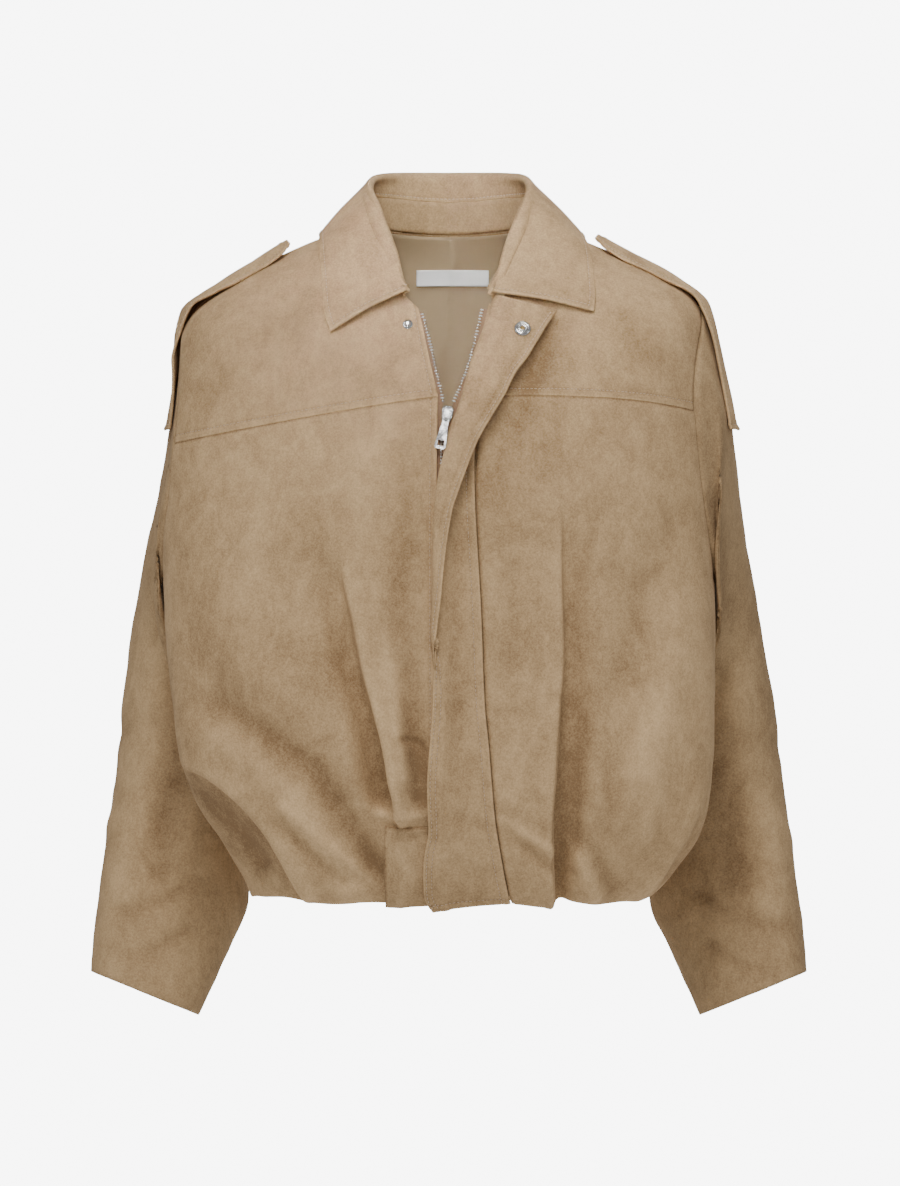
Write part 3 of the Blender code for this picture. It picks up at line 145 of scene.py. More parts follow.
floor = put("floor", bpy.data.meshes.new("floor"))
work = bmesh.new()
bmesh.ops.create_circle(work, cap_ends=True, segments=96, radius=FLOOR_RADIUS)
bmesh.ops.translate(work, vec=(0, 0, FLOOR), verts=work.verts)
work.to_mesh(floor.data)
work.free()
floor_paint = Look("pale floor", Base_Color=(FLOOR_GREY, FLOOR_GREY, FLOOR_GREY, 1), Roughness=0.95)
floor.data.materials.append(floor_paint.material)

Lamp = namedtuple("Lamp", "name place aim size power spread")
LAMPS = [
    Lamp("front softbox", (-0.5, -3.0, 3.0), (0, 0, -0.2), 1.8, 148, 180),
    Lamp("neck light", (-0.2, -3.2, 0.6), (0.0, 0.03, 0.0), 0.3, 0.19, 7),
    Lamp("back softbox", (0.7, 3.6, 2.4), (0, 0, -0.2), 2.0, 75, 180),
    Lamp("right softbox", (3.4, -2.4, 0.6), (0, 0, -0.3), 2.2, 20, 180),
    Lamp("left softbox", (-3.6, -1.6, 0.5), (0, 0, -0.3), 2.2, 10, 180),
]
for lamp in LAMPS:
    light = bpy.data.lights.new(lamp.name, "AREA")
    light.shape = "DISK"
    light.size = lamp.size
    light.energy = lamp.power
    light.spread = math.radians(lamp.spread)
    shining = put(lamp.name, light)
    shining.location = lamp.place
    way = Vector(lamp.aim) - Vector(lamp.place)
    shining.rotation_euler = way.to_track_quat("-Z", "Y").to_euler()

room = bpy.data.worlds.new("room")
room.use_nodes = True
lit, shown = room.node_tree.nodes["Background"], room.node_tree.nodes["World Output"]
seen = add_node(room.node_tree, "ShaderNodeBackground")
for sky, strength in ((lit, ROOM_LIGHT), (seen, ROOM_SEEN)):
    give(sky.inputs["Strength"], strength)
    give(sky.inputs["Color"], (1, 1, 1, 1))
path = add_node(room.node_tree, "ShaderNodeLightPath").outputs["Is Camera Ray"]
give(shown.inputs["Surface"], add_node(room.node_tree, "ShaderNodeMixShader", n0=path, n1=lit, n2=seen))
bpy.context.scene.world = room

# -------------------- the left front
# One panel of suede from the zip to the side seam, hung from the yoke and drawn together at
# the waist: a knife pleat falls from the chest to the waist's tab, and the slack swings in a
# swag to the side.

MM = 0.001
SUEDE = 1.5 * MM
SAME_PLACE = 0.01 * MM          # vertices this near are one
RIM_MATCH = 0.0003              # how nearly an edge of the rim is as long as the wall is thick
SHARPEST = 9                    # an open wall's four corners are among so many sharp places
SEWN_PLACES = np.arange(0.7, 9.0, 0.9) * MM     # finer places beside an edge that is sewn
SEWN_BAND = 9.2 * MM
EDGES = {"low": (0, 0, 1), "high": (0, -1, -2), "first": (1, 0, 1), "last": (1, -1, -2)}


def outer_faces(work, thick, place, out):
    """The faces on that side of a cloth wall which faces out at a place.  Every face of the
    wall's rim has an edge as long as the wall is thick."""
    rim = {face for face in work.faces
           if any(abs(edge.calc_length() - thick) < RIM_MATCH * thick for edge in face.edges)}
    start = min((face for face in work.faces if face not in rim and face.normal.dot(out) > 0.5),
                key=lambda face: (face.calc_center_median() - place).length)
    reached, waiting = {start}, [start]
    while waiting:
        for edge in waiting.pop().edges:
            for face in edge.link_faces:
                if face not in reached and face not in rim:
                    reached.add(face)
                    waiting.append(face)
    return [[vert.index for vert in face.verts] for face in reached]


def rim_loops(faces):
    """The closed edges of a face set, each in the order that keeps the cloth on its left."""
    steps = {step for face in faces for step in zip(face, face[1:] + face[:1])}
    follow = {a: b for a, b in steps if (b, a) not in steps}
    loops = []
    while follow:
        start = next(iter(follow))
        loop, here = [start], follow.pop(start)
        while here != start:
            loop.append(here)
            here = follow.pop(here)
        loops.append(loop)
    return loops


def corner_angles(places, faces):
    """How wide the cloth is at each vertex, in radians."""
    angles = {}
    for face in faces:
        for before, a, after in zip(face[-1:] + face[:-1], face, face[1:] + face[:1]):
            one, two = places[before] - places[a], places[after] - places[a]
            turn = one.dot(two) / np.linalg.norm(one) / np.linalg.norm(two)
            angles[a] = angles.get(a, 0) + math.acos(max(-1, min(1, turn)))
    return angles


def first_sides(loop, angles, far, count):
    """The first row and column of an open grid of so many places, from its corner that is the
    least far."""
    around = len(loop)
    sharp = sorted(range(around), key=lambda k: angles[loop[k]])[:SHARPEST]
    fits = []
    for corners in combinations(sorted(sharp), 4):
        sides = [(b - a) % around for a, b in zip(corners, corners[1:] + corners[:1])]
        if sides[:2] == sides[2:] and (sides[0] + 1) * (sides[1] + 1) == count:
            fits.append((sum(angles[loop[k]] for k in corners), corners, sides))
    _, corners, sides = min(fits)
    first = min(range(4), key=lambda k: far[loop[corners[k]]])
    turned = loop[corners[first]:] + loop[:corners[first]]
    wide, long = sides[first], sides[(first + 1) % 4]
    return turned[:wide + 1], [turned[0]] + turned[:wide + long:-1]


def line_of(starts, layer, beside):
    """A layer's vertices, one after the other along its edges from the starts on."""
    line, left = list(starts), set(layer) - set(starts)
    while left:
        step = beside[line[-1]] & left
        if not step:
            break
        line.append(step.pop())
        left.discard(line[-1])
    return line


def ring_layer(layer, before, beside, places):
    """A ring's vertices in step with the ring before it."""
    fits = []
    for start in beside[before[0]] & layer:
        for second in beside[start] & layer:
            line = line_of((start, second), layer, beside)
            if all(b in beside[a] for a, b in zip(before, line)):
                gap = np.linalg.norm(places[line] - places[before], axis=1).sum()
                fits.append((gap, line))
    return min(fits)[1]


def read_wall(node, thick, foot, place, out):
    """A wall's outer face, which faces out at a place, as a grid of points.  The first row and
    column start by the foot."""
    work = bmesh.new()
    work.from_mesh(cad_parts[node].data)
    bmesh.ops.remove_doubles(work, verts=work.verts, dist=SAME_PLACE)
    work.normal_update()
    faces = outer_faces(work, thick, Vector(place), Vector(out).normalized())
    places = np.array([vert.co[:] for vert in work.verts])
    work.free()
    beside = {}
    for face in faces:
        for a, b in zip(face, face[1:] + face[:1]):
            beside.setdefault(a, set()).add(b)
            beside.setdefault(b, set()).add(a)
    far = np.linalg.norm(places - np.array(foot), axis=1)
    loops = rim_loops(faces)
    loop, ring = min(loops, key=lambda loop: far[loop].min()), len(loops) > 1
    if ring:
        start = int(np.argmin(far[loop]))
        rows = [loop[start:] + loop[:start]]
    else:
        row, column = first_sides(loop, corner_angles(places, faces), far, len(beside))
        rows = [row]
    used = set(rows[0])
    while len(used) < len(beside):
        layer = {b for a in rows[-1] for b in beside[a]} - used
        used |= layer
        rows.append(ring_layer(layer, rows[-1], beside, places) if ring
                    else line_of((column[len(rows)],), layer, beside))
    return places[np.array(rows)]


def through(values, knots, at):
    """A smooth curve through the values, read at other places along the knots."""
    slopes = np.gradient(values, knots, axis=0)
    k = np.clip(np.searchsorted(knots, at, side="right") - 1, 0, len(knots) - 2)
    span = (knots[k + 1] - knots[k])[:, None, None]
    t = (at - knots[k])[:, None, None] / span
    return ((2 * t ** 3 - 3 * t ** 2 + 1) * values[k] + (t ** 3 - 2 * t ** 2 + t) * span * slopes[k]
            + (3 * t ** 2 - 2 * t ** 3) * values[k + 1] + (t ** 3 - t ** 2) * span * slopes[k + 1])


def lengths(points, axis):
    """Mean length run along a grid, from its first row or column."""
    steps = np.linalg.norm(np.diff(points, axis=axis), axis=2).mean(axis=1 - axis)
    return np.concatenate([[0.0], np.cumsum(steps)])


def marks(length, step, low, high):
    """Places along the cloth, closer together beside an edge that is sewn."""
    places = list(np.linspace(0, length, max(3, round(length / step) + 1)))
    if low:
        places = [p for p in places if p == 0 or p > SEWN_BAND] + list(SEWN_PLACES)
    if high:
        places = [p for p in places if p == length or p < length - SEWN_BAND] \
            + list(length - SEWN_PLACES)
    return np.array(sorted(places))


def finer(points, step, sewn=(), ring=False):
    """The cloth's grid at a finer step; sewn names the edges that get closer places."""
    if ring:
        points = np.concatenate([points[:, -2:], points, points[:, :3]], axis=1)
    around, along = lengths(points, 1), lengths(points, 0)
    start, end = (around[2], around[-3]) if ring else (0, around[-1])
    at = start + marks(end - start, step, "first" in sewn, "last" in sewn)
    if ring:
        at = at[:-1]
    points = through(points.transpose(1, 0, 2), around, at).transpose(1, 0, 2)
    return through(points, along, marks(along[-1], step, "low" in sewn, "high" in sewn))


def normals_of(points, ring=False):
    """Which way the cloth faces at every place."""
    if ring:
        around = np.roll(points, -1, axis=1) - np.roll(points, 1, axis=1)
    else:
        around = np.gradient(points, axis=1)
    normals = np.cross(around, np.gradient(points, axis=0))
    return normals / np.linalg.norm(normals, axis=2, keepdims=True)


def inset(points, edge):
    """How far every place lies from one of the cloth's edges, measured over the cloth."""
    axis, strip, _ = EDGES[edge]
    steps = np.linalg.norm(np.diff(points, axis=axis), axis=2)
    if strip:
        steps = np.flip(steps, axis)
    run = np.concatenate([np.zeros_like(np.take(steps, [0], axis)), np.cumsum(steps, axis)], axis)
    return np.flip(run, axis) if strip else run


def bell(value, width):
    """1 at nought, and softly less away from it over a width."""
    return np.exp(-(value / width) ** 2)


SEEDS_APART, NOISE_REACH = 7.31, 1.6


def uneven(points, size, seed):
    """A soft wandering value between about -1 and 1 over the cloth."""
    flat = points.reshape(-1, 3) / size + seed * SEEDS_APART
    values = np.array([noise.noise(Vector(place)) for place in flat])
    return values.reshape(points.shape[:2]) * NOISE_REACH


# a crease runs along a route seen from the front, the back, the left or the right, in
# millimetres: across and up.  A trough lies in and a ridge stands out, by the depths at its two
# ends, over its width.  A lap is a soft step: with a route that runs down, what is on its +X
# side (+Y, from the left or right) stands out where its depth is positive.
Crease = namedtuple("Crease", "name kind first last width route view", defaults=("front",))
VIEWS = {"front": (0, (0, -1, 0)), "back": (0, (0, 1, 0)),
         "left": (1, (-1, 0, 0)), "right": (1, (1, 0, 0))}
LAP_STEP, LAP_TAIL, LAP_DIP = 0.14, 1.6, 0.45   # in widths, in widths and in depths
ROUTE_STOPS = 6         # places on a smooth route for each of its stops
TURNS_AWAY = 2.5        # how soon a crease ends where the cloth turns from its view
WANDERS_OVER = 60 * MM
WANDERS_ASIDE, WANDERS_DEEP = 0.16, 0.22        # in widths and in depths


def run_along(line):
    """The length run along a line up to each of its points."""
    return np.concatenate([[0.0], np.cumsum(np.linalg.norm(np.diff(line, axis=0), axis=1))])


def smooth_route(route):
    """A route's stops joined by a smooth curve."""
    stops = np.array(route, dtype=float)
    knots = run_along(stops)
    at = np.linspace(0, knots[-1], ROUTE_STOPS * len(route))
    return through(stops[:, None, :], knots, at)[:, 0, :]


def beside_route(a, b, route):
    """For every place: the distance to a route's right, the share along it, and how far past
    its ends."""
    stops = smooth_route(route) * MM
    done = run_along(stops)
    spans = np.diff(stops, axis=0)
    long = np.linalg.norm(spans, axis=1)
    way_a, way_b = (spans / long[:, None]).T
    from_a, from_b = a[..., None] - stops[:-1, 0], b[..., None] - stops[:-1, 1]
    run = from_a * way_a + from_b * way_b
    held = np.clip(run, 0, long)
    gaps = np.hypot(from_a - held * way_a, from_b - held * way_b)
    nearest = np.argmin(gaps, axis=-1)[..., None]
    found = (way_a * from_b - way_b * from_a, (done[:-1] + held) / done[-1], np.abs(run - held))
    return [np.take_along_axis(values, nearest, axis=-1)[..., 0] for values in found]


def crease_push(points, normals, creases):
    """How far the creases move the cloth out, soft and uneven along their way."""
    push = np.zeros(points.shape[:2])
    for k, crease in enumerate(creases):
        across, facing = VIEWS[crease.view]
        aside, share, beyond = beside_route(points[..., across], points[..., 2], crease.route)
        width = crease.width * MM
        wander = uneven(points, WANDERS_OVER, k + 3)
        aside = aside + WANDERS_ASIDE * width * wander
        depth = crease.first + (crease.last - crease.first) * share
        depth = depth * MM * (1 + WANDERS_DEEP * wander)
        depth *= bell(beyond, width) * np.clip(TURNS_AWAY * normals @ np.array(facing), 0, 1)
        if crease.kind == "lap":
            rise = 1 / (1 + np.exp(np.clip(-aside / (LAP_STEP * width), -30, 30)))
            fall = bell(np.maximum(aside, 0), LAP_TAIL * width)
            low = bell(np.minimum(aside, 0), width)
            push += depth * (rise * fall - LAP_DIP * (1 - rise) * low)
        else:
            push += depth * bell(aside, width) * (1 if crease.kind == "ridge" else -1)
    return push


STITCH_PRESS, PRESS_WIDTH, PRESS_VARIES = 0.42 * MM, 1.1 * MM, 0.5
EDGE_FULL, FULL_WIDTH = 0.30 * MM, 1.6 * MM


def sewn_push(points, edges):
    """The pucker of a topstitched edge: pressed down on the stitches and full beside them."""
    push = np.zeros(points.shape[:2])
    for edge, rows in edges.items():
        away = inset(points, edge)
        for row in rows:
            pucker = 1 + PRESS_VARIES * uneven(points, 6 * MM, 11)
            push -= STITCH_PRESS * bell(away - row * MM, PRESS_WIDTH) * pucker
        push += EDGE_FULL * bell(away - 0.5 * rows[0] * MM, FULL_WIDTH)
    return push


RIM_BULGE = 0.3         # how far a wall's rim stands out round, in thicknesses


def cloth(name, points, thick, material, rub, ring=False):
    """A closed wall on a grid of points, with round edges, a flat map of the cloth and its tone:
    rubbed nap and painted highlight on ridges, painted shade in troughs and under seams."""
    rows, columns = points.shape[:2]
    normals = normals_of(points, ring)
    middle = points - 0.5 * thick * normals
    bulge = middle.copy()
    for edge in ("low", "high") if ring else EDGES:
        axis, strip, inner = EDGES[edge]
        step = np.take(middle, strip, axis) - np.take(middle, inner, axis)
        step *= RIM_BULGE * thick / np.maximum(np.linalg.norm(step, axis=1, keepdims=True), 1e-9)
        np.moveaxis(bulge, axis, 0)[strip] += step
    layers = [points, bulge, points - thick * normals]
    size = rows * columns
    at = np.arange(size).reshape(rows, columns)
    left, right = (at, np.roll(at, -1, axis=1)) if ring else (at[:, :-1], at[:, 1:])
    quads = np.stack([left[:-1], right[:-1], right[1:], left[1:]], axis=-1).reshape(-1, 4)
    faces = [quads, 2 * size + quads[:, ::-1]]
    rims = [(left[0], right[0]), (right[-1], left[-1])]
    if not ring:
        rims += [(at[1:, 0], at[:-1, 0]), (at[:-1, -1], at[1:, -1])]
    for a, b in rims:
        for top, low in ((0, size), (size, 2 * size)):
            faces.append(np.stack([low + a, low + b, top + b, top + a], axis=-1))
    faces = np.concatenate(faces)
    mesh = bpy.data.meshes.new(name)
    mesh.from_pydata(np.concatenate([layer.reshape(-1, 3) for layer in layers]), [], faces)
    mesh.materials.append(material)
    mesh.shade_smooth()
    flat = np.stack(np.meshgrid(lengths(points, 1), lengths(points, 0)), axis=-1).reshape(-1, 2)
    corners = np.empty(len(mesh.loops), dtype=np.int32)
    mesh.loops.foreach_get("vertex_index", corners)
    uv = mesh.uv_layers.new(name="cloth")
    uv.data.foreach_set("uv", flat[corners % size].astype(np.float32).ravel())
    rub_and_shade_layer = mesh.attributes.new("rub", "FLOAT", "POINT")
    rub_and_shade_layer.data.foreach_set("value", np.tile(rub.ravel(), 3).astype(np.float32))
    used = np.zeros(3 * size, dtype=bool)
    used[faces.ravel()] = True
    work = bmesh.new()
    work.from_mesh(mesh)
    work.verts.ensure_lookup_table()
    bmesh.ops.delete(work, geom=[work.verts[k] for k in np.nonzero(~used)[0]], context="VERTS")
    work.to_mesh(mesh)
    work.free()
    return put(name, mesh)


def cut_size(points):
    """The cut of a cloth before it is folded: its width, length and flat area."""
    width = np.linalg.norm(np.diff(points, axis=1), axis=2).sum(axis=1).max()
    length = np.linalg.norm(np.diff(points, axis=0), axis=2).sum(axis=0).max()
    one, two = points[1:, 1:] - points[:-1, :-1], points[1:, :-1] - points[:-1, 1:]
    area = np.linalg.norm(np.cross(one, two), axis=2).sum() / 2
    return (width, length), min(area, width * length)


Wall = namedtuple("Wall", "node thick foot place out")
seams = []
WIDE_RIPPLE, FINE_RIPPLE, FINE_SHARE = 50 * MM, 17 * MM, 0.4
EDGE_STILL = 10 * MM                                # creases fade out so near to a held edge
FOLD_RUBBED_AND_LIT, FOLD_SHADE_DEEPEST = 3.0 * MM, -1.5          # a fold so high is painted quite pale, rubbed nap and painted highlight; troughs go darker as painted shade
EDGE_PALE, EDGE_PALE_WIDTH = 0.7, 1.3 * MM          # the nap is rubbed pale at an edge too
ROW_SHADE, ROW_SHADE_WIDTH = 0.5, 0.9 * MM            # painted shade darkens the nap along a row of stitches
TUCK_SINKS, TUCK_WIDTH = 0.8 * MM, 2.2 * MM         # a tucked edge sinks under a seam, and painted shade darkens it there
TUCK_SHADE, TUCK_SHADE_WIDTH = 1.2, 1.5 * MM
STITCH_OUT, STITCHES_START = 0.06 * MM, 4.0 * MM


def stand_for(piece, node):
    """Lets a finished piece ride on the jacket in place of its solid."""
    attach(piece, "jacket")
    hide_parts(node)


def dress(wall, step, rows, material, creases=(), tucked=(), ripple=0.6, seed=1,
          ring=False, seat=None, shape=None):
    """Draws a wall's grid finer, creases it and lets it stand for its solid.  rows gives each
    sewn edge's rows of stitches, in millimetres from it; a tucked edge lies under a seam; seat
    tells how far every place sinks onto what lies below, and shape moves the whole grid."""
    grid = read_wall(*wall)
    if shape:
        grid = shape(grid)
    points = finer(grid, step, (*rows, *tucked), ring)
    normals = normals_of(points, ring)
    push = ripple * MM * (uneven(points, WIDE_RIPPLE, seed)
                          + FINE_SHARE * uneven(points, FINE_RIPPLE, seed + 5))
    folded = crease_push(points, normals, creases)
    push += folded
    for edge in (*rows, *tucked):
        push *= 1 - bell(inset(points, edge), EDGE_STILL)
    # ridges paler, partly rubbed nap and partly painted highlight; troughs darker as painted shade
    rub = np.clip(folded / FOLD_RUBBED_AND_LIT, FOLD_SHADE_DEEPEST, 1)
    for edge, places in rows.items():
        away = inset(points, edge)
        rub += EDGE_PALE * bell(away, EDGE_PALE_WIDTH)
        for row in places:
            # painted shade in the dent along each row of stitches
            rub -= ROW_SHADE * bell(away - row * MM, ROW_SHADE_WIDTH)
    push += sewn_push(points, rows)
    for edge in tucked:
        push -= TUCK_SINKS * bell(inset(points, edge), TUCK_WIDTH)
        # painted shade on the tucked edge under its seam
        rub -= TUCK_SHADE * bell(inset(points, edge), TUCK_SHADE_WIDTH)
    points = points + push[..., None] * normals
    if seat:
        points = points - seat(points, wall.thick)[..., None] * normals
    piece = cloth(wall.node + "_cloth", points, wall.thick, material, rub, ring)
    flat, area = cut_size(np.concatenate([grid, grid[:, :1]], axis=1) if ring else grid)
    stand_for(piece, wall.node)
    for edge, places in rows.items():
        for away in places:
            sew(points, edge, away)
    return points


def read_line(line, run, at):
    """A line's points, read at other lengths along it."""
    return np.stack([np.interp(at, run, line[:, k]) for k in range(3)], axis=-1)


def sew(points, edge, away):
    """Lays a row of stitches at a distance in millimetres from an edge, a little short of the
    cloth's other edges."""
    axis, strip, _ = EDGES[edge]
    points = points + STITCH_OUT * normals_of(points)
    far = inset(points, edge)
    if axis == 0:
        far, points = far.T, points.transpose(1, 0, 2)
    if strip:
        far, points = far[:, ::-1], points[:, ::-1]
    line = np.array([read_line(places, run, away * MM) for run, places in zip(far, points)])
    run = run_along(line)
    seams.append(line[(run >= STITCHES_START) & (run <= run[-1] - STITCHES_START)])


# how far the rubbed nap, painted highlight and painted shade move the suede's tone
RUB_AND_SHADE_SHOWS, MIDDLE_TONE = 0.28, 0.5
PATCHES, STROKES, FLECKS, GRAIN = 0.12, 0.12, 0.08, 0.18     # how far each moves the tone


def suede(name, pale, deep):
    """Brushed suede: soft patches where the nap lies another way, flecks, a fine grain, a nap
    rubbed pale at edges, painted highlight with rubbing on ridges, and painted shade in troughs and
    seams."""
    look = Look(name, Roughness=0.95, Specular_IOR_Level=0.10, Sheen_Weight=0.07,
                Sheen_Roughness=0.5, Sheen_Tint=(1.0, 0.80, 0.60, 1))
    place = look.place()
    drawn = look.node("ShaderNodeMapping", Vector=place, Scale=(1.0, 1.0, 0.7))
    rub = look.node("ShaderNodeAttribute", {"attribute_name": "rub"}).outputs["Fac"]
    patches = look.blotches(drawn, 7.0, 3.0, 0.55, 0.5)
    strokes = look.blotches(drawn, 30.0, 5.0, 0.62, 0.9)
    fleck = look.blotches(drawn, 150.0, 4.0, 0.65, 0.4)
    grain = look.blotches(place, 640.0, 3.0, 0.75)
    tone = look.sum(look.times(rub, RUB_AND_SHADE_SHOWS), MIDDLE_TONE)
    for value, reach in ((patches, PATCHES), (strokes, STROKES), (fleck, FLECKS), (grain, GRAIN)):
        tone = look.sum(tone, look.spread(value, 0.3, 0.7, -reach, reach))
    look.paint(tone, deep, pale)
    look.emboss(look.sum(look.times(fleck, 0.8), look.times(grain, 0.35)), 0.5, 0.0006)
    return look.material


SUEDE_PALE, SUEDE_DEEP = (0.680, 0.466, 0.252), (0.245, 0.150, 0.074)
suede_cloth = suede("brushed suede", SUEDE_PALE, SUEDE_DEEP)

FRONT_STEP = 2.1 * MM
LEFT_CREASES = [
    Crease("edge of the knife pleat", "lap", 1.2, 4.4, 6,
           ((-86, -290), (-73, -351), (-62, -388), (-54, -421), (-48, -458), (-43, -478))),
    Crease("under the knife pleat", "trough", 0.8, 5.2, 8,
           ((-96, -300), (-83, -355), (-71, -395), (-62, -430), (-55, -462))),
    Crease("edge of the swag", "lap", 3.4, 6.5, 7,
           ((-222, -437), (-198, -446), (-178, -461), (-160, -480), (-144, -501), (-120, -542))),
    Crease("furrow to the tab", "trough", 1.6, 4.6, 10,
           ((-187, -385), (-149, -410), (-115, -435), (-83, -482), (-52, -533))),
    Crease("roll below the furrow", "ridge", 1.4, 3.2, 12,
           ((-200, -408), (-165, -430), (-130, -460), (-100, -500), (-82, -535))),
    Crease("short fold over the hem", "ridge", 2.6, 2.2, 5,
           ((-134, -470), (-105, -495), (-77, -517), (-48, -540))),
    Crease("under the short fold", "trough", 2.0, 2.4, 6, ((-140, -484), (-112, -509), (-86, -530))),
    Crease("hollow beside the flap", "trough", 1.2, 7.0, 9,
           ((-36, -330), (-30, -395), (-24, -440), (-22, -462))),
    Crease("roll over the tab", "ridge", 3.2, 2.6, 5, ((-56, -474), (-38, -478), (-16, -474))),
    Crease("ridge beside the hollow", "ridge", 1.0, 2.8, 8, ((-56, -300), (-46, -380), (-38, -445))),
    Crease("pinch above the tab", "trough", 2.2, 2.6, 3.5, ((-38, -414), (-27, -416), (-17, -426))),
    Crease("hollow along the zip", "trough", 1.8, 3.2, 13, ((-34, -190), (-36, -260), (-42, -320))),
    Crease("drag from the yoke", "ridge", 1.4, 0.8, 14, ((-66, -180), (-76, -240), (-88, -300))),
    Crease("hollow of the chest", "trough", 1.0, 2.0, 13, ((-112, -230), (-104, -290), (-92, -345))),
    Crease("roll over the rib", "ridge", 1.0, 1.8, 16, ((-150, -200), (-160, -280), (-152, -360))),
    Crease("under the swag", "trough", 3.0, 5.0, 9,
           ((-224, -449), (-203, -459), (-184, -475), (-167, -496), (-154, -516))),
]

dress(Wall("front_left", SUEDE, (-0.151, -0.012, -0.536), (-0.12, -0.14, -0.3), (0, -1, 0)),
      FRONT_STEP, {"last": (5.5,)}, suede_cloth, LEFT_CREASES,
      tucked=("high",), seed=1)

# -------------------- the right front
# The other panel of suede, from the flap's seam to the side seam.  A knife pleat falls from the
# chest to the hem, and the slack folds under at the side.

RIGHT_CREASES = [
    Crease("edge of the pleat", "lap", -1.0, -4.2, 6,
           ((92, -240), (93, -300), (94, -350), (92, -384), (88.5, -438), (85.6, -472), (86, -546))),
    Crease("hollow beside the pleat", "trough", 1.4, 4.8, 10,
           ((105, -260), (108, -350), (105, -430), (99, -500))),
    Crease("dart over the hem", "ridge", 1.6, 3.0, 5, ((42, -480), (64, -492), (84, -505))),
    Crease("under the dart", "trough", 1.2, 2.6, 6, ((46, -493), (66, -506), (83, -520))),
    Crease("rub across", "trough", 0.9, 0.7, 3, ((34, -391), (52, -392), (72, -396))),
    Crease("fold over the hem", "ridge", 2.0, 3.8, 6, ((94, -498), (108, -517), (119, -541))),
    Crease("beside that fold", "trough", 1.4, 2.6, 7, ((105, -492), (122, -511), (134, -538))),
    Crease("edge of the side fold", "lap", -2.0, -6.0, 8,
           ((208, -464), (197, -490), (184, -511), (171, -534))),
    Crease("under the flap", "trough", 3.0, 1.2, 12, ((60, -148), (46, -172), (32, -202))),
    Crease("chest drag", "trough", 1.0, 2.2, 13, ((185, -235), (160, -300), (142, -370))),
    Crease("slack over the rib", "ridge", 1.0, 2.0, 14, ((196, -300), (178, -370), (158, -440))),
    Crease("slack by the flap", "trough", 0.8, 1.5, 9, ((46, -215), (54, -290), (52, -350))),
    Crease("low slack", "trough", 1.0, 2.0, 9, ((150, -400), (132, -450), (124, -490))),
    Crease("small drag", "ridge", 0.8, 1.6, 6, ((160, -430), (168, -462), (158, -490))),
]

dress(Wall("front_right", SUEDE, (0.049, -0.099, -0.539), (0.12, -0.14, -0.3), (0, -1, 0)),
      FRONT_STEP, {}, suede_cloth, RIGHT_CREASES,
      tucked=("high", "first"), seed=2)

# -------------------- the front yokes
# Two panels of the same suede over the chest and shoulders.  Their lower edges lap over the
# fronts, and a row of stitches holds each down a little above the seam.

YOKE_STEP = 2.6 * MM
YOKE_LEFT_CREASES = [
    Crease("drag to the armhole", "trough", 0.6, 1.2, 10, ((-120, -60), (-160, -95), (-196, -140))),
    Crease("roll beside it", "ridge", 0.6, 1.0, 10, ((-110, -85), (-146, -118), (-176, -150))),
    Crease("hollow under the collar", "trough", 0.6, 1.0, 9, ((-92, -95), (-70, -118), (-44, -128))),
]
YOKE_RIGHT_CREASES = [
    Crease("drag to the armhole", "trough", 0.6, 1.2, 10, ((125, -60), (160, -92), (188, -125))),
    Crease("roll beside it", "ridge", 0.6, 1.0, 10, ((112, -80), (142, -108), (166, -128))),
    Crease("under the flap", "trough", 2.0, 3.4, 13, ((88, -78), (76, -104), (63, -136))),
]

dress(Wall("yoke_front_left", SUEDE, (-0.225, -0.04, -0.172), (-0.1, -0.12, -0.1), (0, -1, 0)),
      YOKE_STEP, {"low": (6.0,), "last": (4.5,)}, suede_cloth,
      YOKE_LEFT_CREASES, tucked=("first",), seed=3)
dress(Wall("yoke_front_right", SUEDE, (0.033, -0.121, -0.134), (0.1, -0.12, -0.1), (0, -1, 0)),
      YOKE_STEP, {"low": (6.0,)}, suede_cloth,
      YOKE_RIGHT_CREASES, tucked=("last",), seed=4)

# -------------------- the back
# One panel of suede from the collar to the hem, which folds round to both side seams.  Two
# soft pleats and a roll between them take up its width at the hem.

BACK_STEP = 3.4 * MM
BACK_CREASES = [crease._replace(view="back") for crease in (
    Crease("left pleat", "lap", 0.7, 2.2, 6, ((-88, -290), (-86, -360), (-80, -450), (-72, -545))),
    Crease("right pleat", "lap", -0.7, -2.2, 6, ((90, -280), (88, -350), (80, -450), (74, -545))),
    Crease("hollow of the left pleat", "trough", 0.6, 2.0, 9,
           ((-101, -300), (-97, -400), (-86, -520))),
    Crease("hollow of the right pleat", "trough", 0.6, 2.0, 9,
           ((103, -300), (98, -400), (88, -520))),
    Crease("left swag", "lap", 1.0, 2.6, 7, ((-208, -400), (-170, -448), (-134, -508), (-122, -536))),
    Crease("right swag", "lap", -1.0, -2.6, 7, ((206, -410), (168, -456), (136, -508), (122, -536))),
    Crease("roll over the left hem", "ridge", 1.0, 2.2, 8, ((-170, -380), (-130, -440), (-96, -510))),
    Crease("roll over the right hem", "ridge", 1.0, 2.0, 8, ((172, -390), (134, -446), (100, -512))),
    Crease("middle slack", "trough", 0.6, 1.6, 9, ((-22, -250), (-16, -360), (-24, -480))),
    Crease("middle slack right", "trough", 0.6, 1.4, 9, ((22, -300), (28, -400), (20, -500))),
    Crease("left blade drag", "trough", 0.6, 1.3, 12, ((-190, -120), (-150, -190), (-130, -270))),
    Crease("right blade drag", "trough", 0.6, 1.3, 12, ((192, -130), (154, -196), (136, -280))),
    Crease("across the blades", "trough", 0.6, 0.6, 10, ((-90, -70), (0, -82), (90, -72))),
)]

